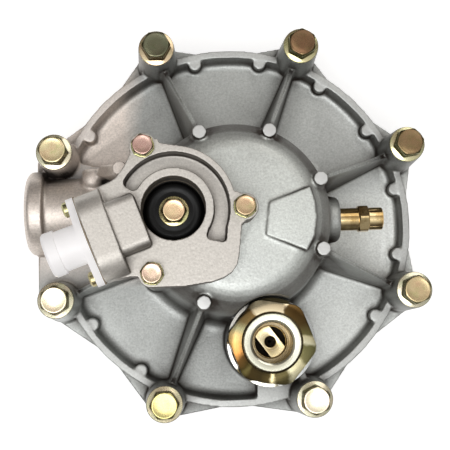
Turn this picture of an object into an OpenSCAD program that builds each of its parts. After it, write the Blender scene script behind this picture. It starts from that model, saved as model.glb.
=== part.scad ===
/* [Bolt pattern] */
// Diameter of the circle of the eight cover bolts
bolt_circle_d = 150; // [146:1:158]
// Thread diameter of a cover bolt
bolt_d = 6; // [5:0.5:6]
// Flange diameter under a cover bolt's head
bolt_flange_d = 14; // [12:0.2:15]
// Width across the flats of a cover bolt's head
bolt_hex = 10; // [8:0.5:10]
// Head height of a cover bolt, flange included
bolt_head_h = 6.4; // [5:0.2:7]

/* [Front casting] */
// Outer diameter of the raised rim
rim_d = 145.8; // [142:0.5:148]
// Width of the rim's machined top
rim_w = 2.9; // [2:0.1:4]
// Height of the rim above the flange
rim_h = 10; // [8:0.5:12]
// Thickness of the front flange
front_flange_t = 5; // [4:0.5:7]
// Height of the bolt bosses above the flange
boss_h = 26; // [22:0.5:30]
// Depth of the pan below the rim
pan_depth = 5; // [4:0.5:6]
// Thickness of the pan floor
pan_wall = 3; // [2.5:0.5:3.5]
// Width of a rib's top edge
rib_top_w = 1.6; // [1.2:0.1:3]
// Draft of the ribs' sides in degrees
rib_draft = 5; // [3:0.5:6]
// Diameter of the dome at its shoulder
dome_d = 72.4; // [70:0.5:76]
// Height of the dome's crown above the bolt seats
dome_h = 23; // [20:0.5:25]
// Radius of the dome's shoulder
dome_shoulder_r = 13; // [8:0.5:14]
// Diameter of the small round pads
pad_d = 5.4; // [4:0.2:6.5]

/* [Outlet port] */
// Outside diameter of the outlet pipe
pipe_d = 27.2; // [26:0.2:30]
// Outside diameter of the outlet collar
collar_d = 33.4; // [32:0.2:36]
// Length of the outlet collar
collar_l = 6.9; // [5:0.1:9]
// Core diameter of the outlet thread
outlet_bore_d = 18.6; // [16:0.2:20]
// Depth of the outlet thread
outlet_thread_l = 15; // [10:1:18]

/* [Inlet] */
// Width across the flats of the inlet hexagon
inlet_hex = 30.5; // [28:0.5:34]
// Height of the inlet hexagon
inlet_hex_h = 7.3; // [5:0.1:9]
// Core diameter of the inlet thread
inlet_bore_d = 15; // [13:0.2:16]
// Outer diameter of the raised ring round the inlet
inlet_ring_d = 22; // [20:0.2:24]
// Depth from the ring to the slotted plug
plug_depth = 10.8; // [9:0.2:12]
// Width of the bar across the slotted plug
plug_bar_w = 6.8; // [6:0.2:9]

/* [Side nipple] */
// Outside diameter of the side nipple
nipple_d = 8.9; // [7:0.1:9.4]
// Length of the side nipple outside its boss
nipple_l = 17.4; // [14:0.2:20]
// Bore of the side nipple
nipple_bore_d = 5; // [3:0.2:5.4]

/* [Primer cover] */
// Thickness of the three-bolt primer cover
primer_cover_t = 10; // [9:0.5:12]
// Diameter of the primer opening
primer_bore_d = 22.7; // [20:0.1:23.5]
// Depth of the C-shaped pocket
pocket_depth = 7; // [4:0.5:8]
// Thread diameter of a primer cover bolt
small_bolt_d = 4; // [3:0.5:4]
// Flange diameter of a primer cover bolt
small_flange_d = 8.2; // [7.6:0.1:9]

/* [Solenoid] */
// Diameter of the solenoid barrel
barrel_d = 14.7; // [13:0.1:16]
// Length of the solenoid barrel
barrel_l = 8; // [6:0.5:10]
// Diameter of the solenoid end cap
cap_d = 16.1; // [15:0.1:18]
// Length of the solenoid end cap
cap_l = 4.5; // [3.5:0.1:6]
// Diameter of the solenoid plunger
plunger_d = 7; // [6:0.1:7.4]

/* [Diaphragm and rear cover] */
// Thickness of the rubber diaphragm
diaphragm_t = 1; // [0.6:0.1:1.4]
// Diameter of the plates clamped on the diaphragm
plate_d = 80; // [70:1:84]
// Travel of the diaphragm from rest to fully open
diaphragm_travel = 6; // [4:0.5:6]
// Depth of the rear cover
rear_cover_h = 18; // [18:0.5:22]
// Thickness of the rear cover's flange
rear_flange_t = 5; // [4:0.5:7]
// Pitch circle of the four mounting holes
mount_circle_d = 104; // [100:1:106]
// Core diameter of a mounting hole
mount_hole_d = 5; // [4:0.2:5.2]

/* [Hidden] */
$fn = 72;
fit = 0.05;        // radial clearance of a threaded or pressed piece
run = 0.1;         // gap between faces of moving pieces
eps = 0.5;         // how far a cut runs past a face

// bolt bosses: the first stands at 22.5 degrees, the next every 45
bolt_count = 8;
bolt_pitch = 360 / bolt_count;
bolt_angles = [for (i = [0 : bolt_count - 1]) bolt_pitch * (i + 0.5)];
bolt_r = bolt_circle_d / 2;
bolt_turns = [9, 30, 0, -5, 30, 2, 25, 22];   // how each head came to rest

// levels, from the rear face up
diaphragm_z = rear_cover_h;
front_z = diaphragm_z + diaphragm_t;
flange_z = front_z + front_flange_t;
rim_z = flange_z + rim_h;
seat_z = flange_z + boss_h;
pan_z = rim_z - pan_depth;
pan_under_z = pan_z - pan_wall;
dome_z = seat_z + dome_h;

// flange outline
rim_r = rim_d / 2;
ear_r = 7.9;
ear_slope = 32;
chamber_r = rim_r - 8.9;
boss_top_r = bolt_flange_d / 2 + 0.15;
boss_foot_r = boss_top_r + 1.2;

module at_bolts() {
    for (a = bolt_angles) rotate(a) translate([bolt_r, 0]) children();
}

module ear_shape() {
    tip = [bolt_r + ear_r * cos(ear_slope), ear_r * sin(ear_slope)];
    run_out = 24.4;
    foot = [tip[0] - run_out * sin(ear_slope), tip[1] + run_out * cos(ear_slope)];
    polygon([[rim_r - 20, -8], [foot[0], -foot[1]], [tip[0], -tip[1]],
        [tip[0], tip[1]], [foot[0], foot[1]], [rim_r - 20, 8]]);
    translate([bolt_r, 0]) circle(ear_r);
}

module flange_shape() {
    circle(rim_r + 0.2);
    for (a = bolt_angles) rotate(a) ear_shape();
    port_half = bolt_r * sin(bolt_pitch / 2);
    translate([-port_edge_x, -port_half]) square([port_edge_x - rim_r + 15, 2 * port_half]);
    for (y = [-port_half, port_half]) translate([-port_edge_x + ear_r + 0.5, y]) circle(ear_r + 0.5);
}
port_edge_x = bolt_r * cos(bolt_pitch / 2) + ear_r + 1.2;

// outlet pipe, its axis along X
pipe_y = 6.5;
pipe_z = seat_z - 14;
collar_x = -port_edge_x - 2.8;

// inlet, on a ray of its own
inlet_angle = 285;
inlet_r = bolt_r - 26.3;
inlet_boss_z = seat_z - 1.5;
inlet_washer_t = 1.5;
inlet_hex_z = inlet_boss_z + inlet_washer_t;
inlet_top_z = inlet_hex_z + inlet_hex_h + 1;
inlet_flange_r = inlet_hex / 2 + 1.75;
inlet_boss_r = inlet_flange_r;
inlet_shank_r = inlet_bore_d / 2 + 3.5;
spot_face_r = inlet_boss_r + 0.8;
plug_z = inlet_top_z - plug_depth;
plug_r = inlet_bore_d / 2 - 1.1;
plug_t = 4;
plug_angle = -56.5;

// side nipple, its axis along X
nipple_z = seat_z - 4;
nipple_x = 41.3;
nipple_boss_r = 8.8;
nipple_shank_r = 4;

// primer cover and its riser
primer_x = -23.1;
primer_y = 1.7;
riser_z = dome_z;
primer_gasket_t = 1;
cover_z = riser_z + primer_gasket_t;
cover_top_z = cover_z + primer_cover_t;
cover_rim_r = 22.3;
small_ear_r = small_flange_d / 2 + 0.8;
cover_bolt_at = [[-33.4, 23.9], [2.1, 1.6], [-31.1, -21.2]];

// solenoid block, its axis through the primer's axis
solenoid_angle = 200;
solenoid_z = cover_top_z - 0.5;
block_a_w = 19.8;
block_b_w = 31.6;
block_a_s = 11.6;
block_b_s = 22.2;
block_end_s = 31.2;
block_a_top = cover_top_z + 7.5;
block_b_top = cover_top_z + 9;
sol_gasket_t = 0.5;
sol_flange_t = 2.6;
sol_flange_s = block_end_s + sol_gasket_t;
barrel_s = sol_flange_s + sol_flange_t;
cap_s = barrel_s + barrel_l;
screw_half = 13;
sol_bore_r = 6.5;
sol_seat_s = 16.5;
plunger_stroke = 2.5;
plunger_tail_s = cap_s - 4.6;

module front_outline_cuts() {
    translate([0, 0, front_z - eps]) linear_extrude(boss_h + front_flange_t + 2 * eps)
        at_bolts() circle(bolt_d / 2 + 0.3);
}

// a gusset rib, its sloping top edge from the boss up to the dome
module rib(start_r, start_z, end_r, end_z) {
    rise = atan2(end_z - start_z, start_r - end_r);
    long = 120;
    intersection() {
        rotate([90, 0, 0]) translate([0, 0, -10]) linear_extrude(20)
            polygon([[start_r, pan_under_z + 0.7], [start_r, start_z], [end_r, end_z],
                [end_r - 5, end_z], [end_r - 5, pan_under_z + 0.7]]);
        for_rib_side(start_r, start_z, rise, long);
        mirror([0, 1, 0]) for_rib_side(start_r, start_z, rise, long);
    }
}

module for_rib_side(start_r, start_z, rise, long) {
    translate([start_r, rib_top_w / 2, start_z]) rotate([0, rise, 0]) rotate([rib_draft, 0, 0])
        translate([-long, -30, -long]) cube([2 * long, 30, 2 * long]);
}

// outer skin of the dome, turned
module dome_skin() {
    r = dome_d / 2;
    s = dome_shoulder_r;
    foot_r = r + 2.2;
    fillet = 5;
    shoulder = [for (a = [80 : -10 : 0]) [r - s + s * cos(a), dome_z - 1 - s + s * sin(a)]];
    foot = [for (a = [180 : 18 : 270])
        [foot_r + fillet + fillet * cos(a), pan_z + fillet + fillet * sin(a)]];
    rotate_extrude() polygon(concat([[0, pan_under_z + 1], [0, dome_z]], shoulder, foot,
        [[foot_r + fillet, pan_under_z + 1]]));
}

// rim wall with its fillet down to the pan
module rim_ring() {
    inner = rim_r - rim_w;
    fillet = 2.5;
    wall_foot = inner - 1;
    curve = [for (a = [0 : -18 : -90])
        [wall_foot - fillet + fillet * cos(a), pan_z + fillet + fillet * sin(a)]];
    rotate_extrude() polygon(concat([[rim_r, flange_z - 1], [rim_r, rim_z], [inner, rim_z]],
        curve, [[wall_foot - fillet - 3, pan_z - 0.01], [wall_foot - fillet - 3, flange_z - 1]]));
}

module riser_shape() {
    translate([primer_x, primer_y]) circle(cover_rim_r - 0.6);
    for (p = cover_bolt_at) translate(p) circle(small_ear_r - 0.3);
    polygon([cover_bolt_at[0], [-22, 20], [-4, 8], cover_bolt_at[1], [-1, -4], [-2, -18],
        [-7, -22.5], [-20, -25], [-30, -25.2], cover_bolt_at[2]]);
    polygon([[-37, 22], [-30, 27], [-20, 23.5], [-20, 15], [-38, 15]]);
    polygon([[0, 4], [6.3, 2.6], [4.5, -3.5], [0, -11], [-6, -8]]);
    polygon([[-35.5, -19], [-20, -19], [-20, -25.3], [-29, -25.6]]);
}

// flat shelf at the rim's level beside the outlet pipe
module outlet_body() {
    translate([0, 0, front_z + 1]) linear_extrude(rim_z - front_z - 1) polygon([[-port_edge_x, -28],
        [-port_edge_x, 28], [13.8 - port_edge_x, 28.2], [22.9 - port_edge_x, 25.7],
        [38.4 - port_edge_x, 25.5], [-34, 12], [-34, -14], [18.4 - port_edge_x, -26.5]]);
    translate([-port_edge_x, -20, front_z + 1]) cube([22, 45, rim_z - front_z - 1]);
}

// rounded boss on the pipe's flank, and the steep gusset from it to the riser
module boss_lump() {
    translate([-54.9, 18.4, seat_z - 4.5])
        rotate_extrude() polygon(concat([[0, 0]], [for (a = [0 : 15 : 90]) [4.4 * cos(a), 3.5 * sin(a)]]));
    translate([-54.9, 18.6, rim_z - 1]) linear_extrude(seat_z - rim_z - 3.4) {
        translate([0, -0.2]) circle(4.3);
        translate([-2.3, 2.1]) circle(2);
        translate([2.3, 2.1]) circle(2);
        translate([-4.3, -0.4]) square([8.6, 2.5]);
        translate([-2.3, 0]) square([4.6, 4.1]);
    }
    rotate(157.5) translate([0, 2.2, 0]) rotate([90, 0, 0]) linear_extrude(4.4)
        polygon([[58, rim_z - 1], [57, seat_z - 3], [48.5, seat_z + 18], [38, seat_z + 18],
            [38, rim_z - 1]]);
}

module front_casting() {
    pad_angles = [11.25, 33.75, 56.25, 78.75, 101.25, 146.25, 213.75, 236.25, 326.25, 348.75];
    dome_pad_r = 34.2;
    dome_pad_z = seat_z + 20.5;
    rib_start_r = bolt_r - boss_top_r + 0.6;
    rib_start_z = seat_z - 8.5;
    color([0.78, 0.77, 0.75])
    difference() {
        union() {
            translate([0, 0, front_z]) linear_extrude(front_flange_t) flange_shape();
            translate([0, 0, pan_under_z]) cylinder(h = pan_wall, r = rim_r - rim_w);
            rim_ring();
            dome_skin();
            for (a = bolt_angles) rotate(a) translate([bolt_r, 0, flange_z - 1])
                cylinder(h = boss_h + 1, r1 = boss_foot_r, r2 = boss_top_r);
            for (a = bolt_angles) if (abs(a - 157.5) > 1 && abs(a - 292.5) > 1) rotate(a)
                rib(rib_start_r, rib_start_z, dome_pad_r + 1, dome_pad_z - 1.5);
            rotate(292.5) translate([58, -1.4, pan_under_z + 1]) cube([12, 2.8, seat_z - 7 - pan_under_z]);
            for (a = bolt_angles) if (abs(a - 157.5) > 1 && abs(a - 202.5) > 1 && abs(a - 292.5) > 1)
                rotate(a) translate([dome_pad_r, 0, dome_pad_z - 9]) cylinder(h = 9, d = pad_d);
            translate([-42.8, 18.7, seat_z]) cylinder(h = 20, d = pad_d);
            for (a = pad_angles) rotate(a) translate([rim_r - 6.8 + pad_d / 2, 0, pan_under_z + 1])
                cylinder(h = rim_z - pan_under_z - 1.2, d = pad_d);
            translate([0, 0, pan_under_z + 1]) linear_extrude(riser_z - pan_under_z - 1) riser_shape();
            outlet_body();
            boss_lump();
            translate([collar_x + 1, pipe_y, pipe_z]) rotate([0, 90, 0])
                cylinder(h = -collar_x - 31, d = pipe_d);
            translate([collar_x + 2, pipe_y, pipe_z]) rotate([0, 90, 0]) {
                cylinder(h = collar_l - 2, d = collar_d);
                translate([0, 0, -0.9]) cylinder(h = 1, d1 = collar_d - 1, d2 = collar_d);
                translate([0, 0, -2]) cylinder(h = 1.2, d1 = collar_d - 4, d2 = collar_d - 1);
            }
            rotate(inlet_angle) translate([inlet_r, 0, pan_under_z])
                cylinder(h = inlet_boss_z - pan_under_z, r = inlet_boss_r);
            rotate(inlet_angle) translate([inlet_r, 0, pan_z]) rotate_extrude()
                polygon(concat([[inlet_boss_r - 3, -1], [inlet_boss_r - 3, 5]],
                    [for (a = [180 : 18 : 270]) [inlet_boss_r + 4.9 + 5 * cos(a), 5 + 5 * sin(a)]],
                    [[inlet_boss_r + 4.9, -1]]));
            intersection() {
                translate([8, -rim_r - 3.1, front_z + 1]) cube([16, 30, rim_z - front_z - 1]);
                translate([0, 0, front_z]) cylinder(h = 40, r = rim_r - 1);
            }
            translate([nipple_x - 9, 0, nipple_z]) rotate([0, 90, 0]) {
                cylinder(h = 8, r1 = nipple_boss_r + 1.6, r2 = nipple_boss_r);
                translate([0, 0, 8]) cylinder(h = 1, r1 = nipple_boss_r, r2 = nipple_boss_r - 0.9);
            }
            trapezoid_pad();
            for (y = [-6.6, 6.6]) rotate(inlet_angle) translate([33, y - 1.6, pivot_z - 2.6])
                cube([6, 3.2, pan_under_z - pivot_z + 3.6]);
        }
        front_outline_cuts();
        translate([0, 0, front_z - eps]) cylinder(h = pan_under_z - front_z + eps, r = chamber_r);
        difference() {
            translate([0, 0, front_z + eps]) cylinder(h = dome_z - 8 - front_z, r = dome_cavity_r);
            primer_well_wall();
            rotate(inlet_angle) translate([inlet_r, 0, pan_under_z])
                cylinder(h = 60, r = spot_face_r + 2.6);
        }
        rotate(inlet_angle) translate([inlet_r, 0, inlet_boss_z]) cylinder(h = 40, r = spot_face_r);
        translate([primer_x, primer_y, primer_floor_z]) cylinder(h = 40, d = primer_bore_d);
        translate([primer_x, primer_y, primer_floor_z - 10]) cylinder(h = 20, d = 3);
        for (p = cover_bolt_at) translate([p[0], p[1], riser_z - 11])
            cylinder(h = 11 + eps, r = small_bolt_d / 2);
        translate([collar_x - eps, pipe_y, pipe_z]) rotate([0, 90, 0])
            cylinder(h = outlet_thread_l + eps, d = outlet_bore_d);
        translate([collar_x, pipe_y, pipe_z]) rotate([0, 90, 0])
            cylinder(h = -collar_x - 24, d = outlet_bore_d - 2.4);
        rotate(inlet_angle) translate([inlet_r, 0, pan_under_z - eps])
            cylinder(h = inlet_boss_z - pan_under_z + 2 * eps, r = inlet_shank_r + fit);
        translate([20, 0, nipple_z]) rotate([0, 90, 0]) cylinder(h = 30, r = nipple_shank_r + fit);
        rotate(inlet_angle) translate([pivot_x, -12, pivot_z]) rotate([-90, 0, 0])
            cylinder(h = 24, r = pin_r + 0.03);
    }
}
dome_cavity_r = dome_d / 2 - 4.2;
primer_stroke = 3;
primer_floor_z = riser_z - 12 - primer_stroke;

// the primer's cylinder, left standing inside the dome's hollow
module primer_well_wall() {
    translate([primer_x, primer_y, primer_floor_z - 3])
        cylinder(h = 60, r = primer_bore_d / 2 + 3);
    for (p = cover_bolt_at) translate([p[0], p[1], riser_z - 14]) cylinder(h = 30, r = small_ear_r);
}

module trapezoid_pad() {
    translate([0, 0, dome_z - 12]) linear_extrude(12.2)
        polygon([[12, 4.3], [27.1, 9.85], [28.7, 4.1], [29.1, -1.7], [28, -8.4], [25, -13.8],
            [10.3, -7.6]]);
}

module rear_cover() {
    floor_z = 3.5;
    color([0.78, 0.77, 0.75])
    difference() {
        union() {
            translate([0, 0, rear_cover_h - rear_flange_t]) linear_extrude(rear_flange_t) flange_shape();
            rotate_extrude() polygon([[0, 0], [30, 0], [31.5, 1.5], [58, 1.5], [60, 2.5],
                [rim_r - 4, rear_cover_h - rear_flange_t + 1], [0, rear_cover_h - rear_flange_t + 1]]);
            for (i = [0 : 3]) rotate(45 + 90 * i) translate([mount_circle_d / 2, 0, 0])
                cylinder(h = floor_z + 1, r = 7);
            for (a = bolt_angles) rotate(a) translate([29, -1.25, 0.5]) cube([30, 2.5, 3]);
        }
        difference() {
            translate([0, 0, floor_z]) cylinder(h = rear_cover_h, r1 = 57, r2 = chamber_r + 1.2);
            for (i = [0 : 3]) rotate(45 + 90 * i) translate([mount_circle_d / 2, 0, 0])
                cylinder(h = 11.3, r = 6);
        }
        translate([0, 0, -eps]) linear_extrude(rear_cover_h + 2 * eps) at_bolts() circle(bolt_d / 2);
        for (i = [0 : 3]) rotate(45 + 90 * i) translate([mount_circle_d / 2, 0, -eps])
            cylinder(h = 9 + eps, d = mount_hole_d);
        rotate(vent_angle) translate([vent_r, 0, -eps]) cylinder(h = 10, r = 3);
        rotate(vent_angle) translate([vent_r, 0, -eps]) cylinder(h = eps + 2.7, r = vent_screen_r + fit);
    }
}
vent_angle = 0;
vent_r = 43;
vent_screen_r = 5;

module vent_screen() {
    color([0.7, 0.6, 0.35])
    rotate(vent_angle) translate([vent_r, 0, 2]) difference() {
        cylinder(h = 0.7, r = vent_screen_r);
        for (i = [-1 : 1], j = [-1 : 1]) translate([1.6 * i, 1.6 * j, -eps]) cylinder(h = 3, r = 0.5);
    }
}

// a hexagon flange bolt standing on its seat at z = 0
module flange_bolt(d, length, flange_d, flange_t, hex, head_h, turn = 0) {
    translate([0, 0, -length]) cylinder(h = length + 0.1, r = d / 2 - fit);
    cylinder(h = flange_t * 0.45, d = flange_d);
    translate([0, 0, flange_t * 0.45]) cylinder(h = flange_t * 0.75, d1 = flange_d, d2 = hex * 1.08);
    intersection() {
        rotate(turn) cylinder(h = head_h, d = hex / cos(30), $fn = 6);
        translate([0, 0, head_h - hex]) cylinder(h = hex, r1 = hex * 1.7, r2 = hex * 0.45);
    }
}

module cover_bolts() {
    grip = boss_h + front_flange_t + diaphragm_t + rear_flange_t;
    color([0.83, 0.76, 0.5])
    for (i = [0 : bolt_count - 1]) rotate(bolt_angles[i]) translate([bolt_r, 0, seat_z])
        flange_bolt(bolt_d, grip, bolt_flange_d, 1.6, bolt_hex, bolt_head_h,
            bolt_turns[i] - bolt_angles[i]);
}

// the rubber sheet: its clamped bead, and the web that hangs down to the plates
dish = diaphragm_travel + 1;
sheet_z = diaphragm_z - dish;
module diaphragm_bead() {
    color([0.12, 0.12, 0.12])
    translate([0, 0, diaphragm_z]) linear_extrude(diaphragm_t) difference() {
        flange_shape();
        circle(chamber_r);
        at_bolts() circle(bolt_d / 2 + 0.3);
    }
}

module diaphragm_web() {
    r_plate = plate_d / 2 + 5;
    r_clamp = chamber_r - 3;
    color([0.12, 0.12, 0.12])
    difference() {
        rotate_extrude() polygon([[chamber_r, diaphragm_z], [chamber_r, front_z],
            [r_clamp, front_z], [r_plate, sheet_z + diaphragm_t], [0, sheet_z + diaphragm_t],
            [0, sheet_z], [r_plate + 0.3, sheet_z], [r_clamp + 0.3, diaphragm_z]]);
        translate([0, 0, sheet_z - eps]) cylinder(h = diaphragm_t + 2 * eps, r = stud_r + 0.3);
    }
}
stud_r = 3;
plate_t = 1.2;
front_plate_z = sheet_z + diaphragm_t + run;
rear_plate_z = sheet_z - run - plate_t;

module diaphragm_plate_front() {
    color([0.8, 0.8, 0.82])
    difference() {
        union() {
            translate([0, 0, front_plate_z]) cylinder(h = plate_t, d = plate_d);
            translate([0, 0, front_plate_z]) cylinder(h = plate_t + 0.6, r = 12);
        }
        translate([0, 0, front_plate_z - eps]) cylinder(h = plate_t + 3, r = stud_r + fit);
    }
}

module diaphragm_plate_rear() {
    color([0.8, 0.8, 0.82])
    translate([0, 0, rear_plate_z]) difference() {
        cylinder(h = plate_t, d = plate_d);
        translate([0, 0, -eps]) cylinder(h = plate_t + 2 * eps, r = stud_r + fit);
    }
}
stud_head_z = front_plate_z + plate_t + 0.6;
stud_head_h = 1.6;

module diaphragm_stud() {
    color([0.72, 0.72, 0.75]) {
        translate([0, 0, stud_head_z]) cylinder(h = stud_head_h, r1 = 5.5, r2 = 4.6);
        translate([0, 0, rear_plate_z - 4.2]) cylinder(h = stud_head_z - rear_plate_z + 4.3, r = stud_r);
    }
}

module diaphragm_nut() {
    color([0.72, 0.72, 0.75])
    translate([0, 0, rear_plate_z - 3.4]) difference() {
        cylinder(h = 3.4, d = 10 / cos(30), $fn = 6);
        translate([0, 0, -eps]) cylinder(h = 6, r = stud_r + fit);
    }
}

// valve lever, pivoted between the inlet and the diaphragm's stud
pivot_x = inlet_r - 12.7;
pivot_z = pan_under_z - 3.5;
pin_r = 1.5;
tip_z = stud_head_z + stud_head_h + 0.3;
lever_w = 9;
module valve_lever() {
    t = 2;
    color([0.7, 0.7, 0.73])
    rotate(inlet_angle) difference() {
        union() {
            rotate([90, 0, 0]) translate([0, 0, -lever_w / 2]) linear_extrude(lever_w)
                polygon([[-3, tip_z + 0.8], [-1, tip_z], [1, tip_z], [3, tip_z + 0.8],
                    [pivot_x - 2.5, pivot_z - t / 2], [inlet_r + 4, pivot_z - t / 2],
                    [inlet_r + 4, pivot_z + t / 2], [pivot_x - 3, pivot_z + t / 2],
                    [3, tip_z + t + 0.8], [-3, tip_z + t + 0.8]]);
            translate([pivot_x, -lever_w / 2, pivot_z]) rotate([-90, 0, 0]) cylinder(h = 5, r = 2.6);
        }
        translate([pivot_x, -lever_w, pivot_z]) rotate([-90, 0, 0])
            cylinder(h = 2 * lever_w, r = pin_r + 0.05);
        translate([pivot_x - 3.3, 0.7, pivot_z - 4]) cube([6.6, 10, 8]);
    }
}

module lever_pin() {
    color([0.6, 0.6, 0.63])
    rotate(inlet_angle) translate([pivot_x, -9, pivot_z]) rotate([-90, 0, 0]) cylinder(h = 18, r = pin_r);
}

module lever_spring() {
    wire = 0.7;
    pitch = 0.95;
    coil_r = 2.2;
    leg_z = coil_r + 0.05;
    color([0.55, 0.55, 0.58])
    rotate(inlet_angle) translate([pivot_x, 1.3, pivot_z]) {
        for (i = [0 : 2]) translate([0, i * pitch, 0]) rotate([90, 0, 0])
            rotate_extrude() translate([coil_r, 0]) circle(d = wire, $fn = 16);
        for (i = [0 : 1]) translate([coil_r, (i + 0.5) * pitch, 0])
            cube([wire * 0.8, pitch, wire * 0.8], center = true);
        translate([-5.8, -wire * 0.4, leg_z - 0.2]) cube([6, wire * 0.8, wire * 0.7]);
        translate([-0.2, 2 * pitch - wire * 0.4, leg_z - 0.2]) cube([6, wire * 0.8, wire * 0.7]);
    }
}

// pad and seat of the inlet valve
pad_holder_t = 1.8;
seat_low_z = pivot_z + 1 + pad_holder_t + 1.7;
module pad_holder() {
    color([0.75, 0.62, 0.35])
    rotate(inlet_angle) translate([inlet_r, 0, pivot_z + 1]) difference() {
        cylinder(h = pad_holder_t, r = 4.6);
        translate([0, 0, pad_holder_t - 1]) cylinder(h = 2, r = 4 + fit);
    }
}

module valve_pad() {
    color([0.1, 0.1, 0.1])
    rotate(inlet_angle) translate([inlet_r, 0, pivot_z + pad_holder_t]) cylinder(h = 2.4, r = 4);
}

module valve_seat() {
    color([0.8, 0.65, 0.35])
    rotate(inlet_angle) translate([inlet_r, 0, seat_low_z]) difference() {
        union() {
            cylinder(h = 2, r1 = 2.9, r2 = 4);
            translate([0, 0, 2]) cylinder(h = 4, r = 5);
        }
        translate([0, 0, -eps]) cylinder(h = 8, r = 2.1);
    }
}

module inlet_fitting() {
    low_z = seat_low_z + 2;
    color([0.83, 0.7, 0.42])
    rotate(inlet_angle) translate([inlet_r, 0, 0]) difference() {
        union() {
            translate([0, 0, low_z]) cylinder(h = inlet_hex_z - low_z + 1, r = inlet_shank_r);
            translate([0, 0, inlet_hex_z]) cylinder(h = inlet_ledge_t, r = inlet_flange_r);
            intersection() {
                rotate(inlet_hex_turn) translate([0, 0, inlet_hex_z + 0.5])
                    cylinder(h = inlet_hex_h - 0.5, d = inlet_hex / cos(30), $fn = 6);
                translate([0, 0, inlet_hex_z]) cylinder(h = inlet_hex_h + 1, r = inlet_flange_r);
            }
            translate([0, 0, inlet_hex_z + 1])
                cylinder(h = inlet_top_z - inlet_hex_z - 1, d = inlet_ring_d);
        }
        translate([0, 0, plug_z + 0.4]) cylinder(h = 30, d = inlet_bore_d);
        translate([0, 0, inlet_top_z - 0.6])
            cylinder(h = 1.2, r1 = inlet_bore_d / 2 - 0.1, r2 = inlet_bore_d / 2 + 1.1);
        translate([0, 0, plug_z - plug_t - 0.8]) cylinder(h = plug_t + 3, r = plug_r + fit);
        translate([0, 0, low_z - eps]) cylinder(h = 4 + eps, r = 5 + fit);
        translate([0, 0, low_z]) cylinder(h = plug_z - plug_t - low_z, r = 4);
        translate([0, 0, inlet_hex_z + inlet_hex_h - 0.5]) difference() {
            cylinder(h = 1, d = inlet_ring_d + 1.1);
            translate([0, 0, -eps]) cylinder(h = 3, d = inlet_ring_d);
        }
    }
}
inlet_hex_turn = -inlet_angle - 10;
inlet_ledge_t = 2.2;

module inlet_washer() {
    color([0.85, 0.83, 0.8])
    rotate(inlet_angle) translate([inlet_r, 0, inlet_boss_z]) difference() {
        cylinder(h = inlet_washer_t, r = inlet_hex / 2 - 0.3);
        translate([0, 0, -eps]) cylinder(h = 4, r = inlet_shank_r + fit);
    }
}

module inlet_plug() {
    color([0.86, 0.76, 0.5])
    rotate(inlet_angle) translate([inlet_r, 0, plug_z - plug_t])
    rotate(plug_angle - inlet_angle) difference() {
        cylinder(h = plug_t, r = plug_r);
        translate([0, 0, -eps]) cylinder(h = plug_t + 2 * eps, d = 4.3);
        for (s = [-1, 1]) intersection() {
            translate([0, 0, -eps]) cylinder(h = plug_t + 2 * eps, r = plug_r - 0.6);
            translate([-10, s > 0 ? plug_bar_w / 2 : -plug_bar_w / 2 - 10, -1]) cube([20, 10, plug_t + 2]);
        }
    }
}

module inlet_screen() {
    color([0.6, 0.55, 0.45])
    rotate(inlet_angle) translate([inlet_r, 0, plug_z - plug_t - 0.8]) difference() {
        cylinder(h = 0.8, r = plug_r);
        for (i = [-1 : 1], j = [-1 : 1]) translate([2.4 * i, 2.4 * j, -eps]) cylinder(h = 2, r = 0.7);
    }
}

module side_nipple() {
    hex_x = 7.7;
    hex_l = 4.1;
    color([0.83, 0.7, 0.42])
    translate([nipple_x, 0, nipple_z]) rotate([0, 90, 0]) difference() {
        union() {
            translate([0, 0, -7]) cylinder(h = 8, r = nipple_shank_r);
            cylinder(h = nipple_l, d = nipple_d);
            rotate(30) translate([0, 0, hex_x]) cylinder(h = hex_l, d = 10 / cos(30), $fn = 6);
        }
        translate([0, 0, -8]) cylinder(h = nipple_l + 9, d = nipple_bore_d);
    }
}

// outline of the primer cover, drawn round its opening, its bolts and the block
module cover_shape() {
    translate([primer_x, primer_y]) circle(cover_rim_r);
    for (p = cover_bolt_at) translate(p) circle(small_ear_r);
    polygon([[-37.8, 21.7], [-40.2, 17], [-43.2, 12.9], [-45, 11.7], [-50, 9.5], [-45.2, -23],
        [-42.9, -22.9], [-38.7, -22.1], [-35.8, -22.2], [-31, -26], [-19.6, -25.9], [-10, -24.5],
        [-20, 0], [-28, 26.4], [-36, 27]]);
    polygon([[-28.4, 25.2], [-20.6, 23.9], [-23, 15], [-34, 22]]);
    polygon([[-0.6, 7.2], [0.6, 6.5], [5, 5.6], [6.8, 0], [2.6, -3.2], [0.9, -4.7], [-0.4, -15.5],
        [-20, 0]]);
    polygon([[-0.4, -15.5], [-1.2, -18.8], [-3, -21.4], [-5.9, -23.2], [-10.2, -24.6],
        [-20, -25.6], [-20, 0]]);
}

// a block on the solenoid's axis: s runs outward from the primer's axis
module on_solenoid(s) {
    translate([primer_x, primer_y, solenoid_z]) rotate([0, 0, solenoid_angle]) translate([s, 0, 0])
        rotate([90, 0, 90]) children();
}

// upright section with rounded top corners, w wide, from low to high
module block_section(w, low, high, r) {
    translate([-w / 2, low]) square([w, high - low - r]);
    translate([-w / 2 + r, low]) square([w - 2 * r, high - low]);
    for (x = [-1, 1]) translate([x * (w / 2 - r), high - r]) circle(r);
}

// the inner block from above, with rounded upright corners
module block_plan() {
    corner = 1.8;
    half = block_a_w / 2 + 0.2;
    translate([block_a_s + corner, -half]) square([20, 2 * half]);
    translate([block_a_s, corner - half]) square([20, 2 * (half - corner)]);
    for (v = [-1, 1]) translate([block_a_s + corner, v * (half - corner)]) circle(corner);
}

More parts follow.
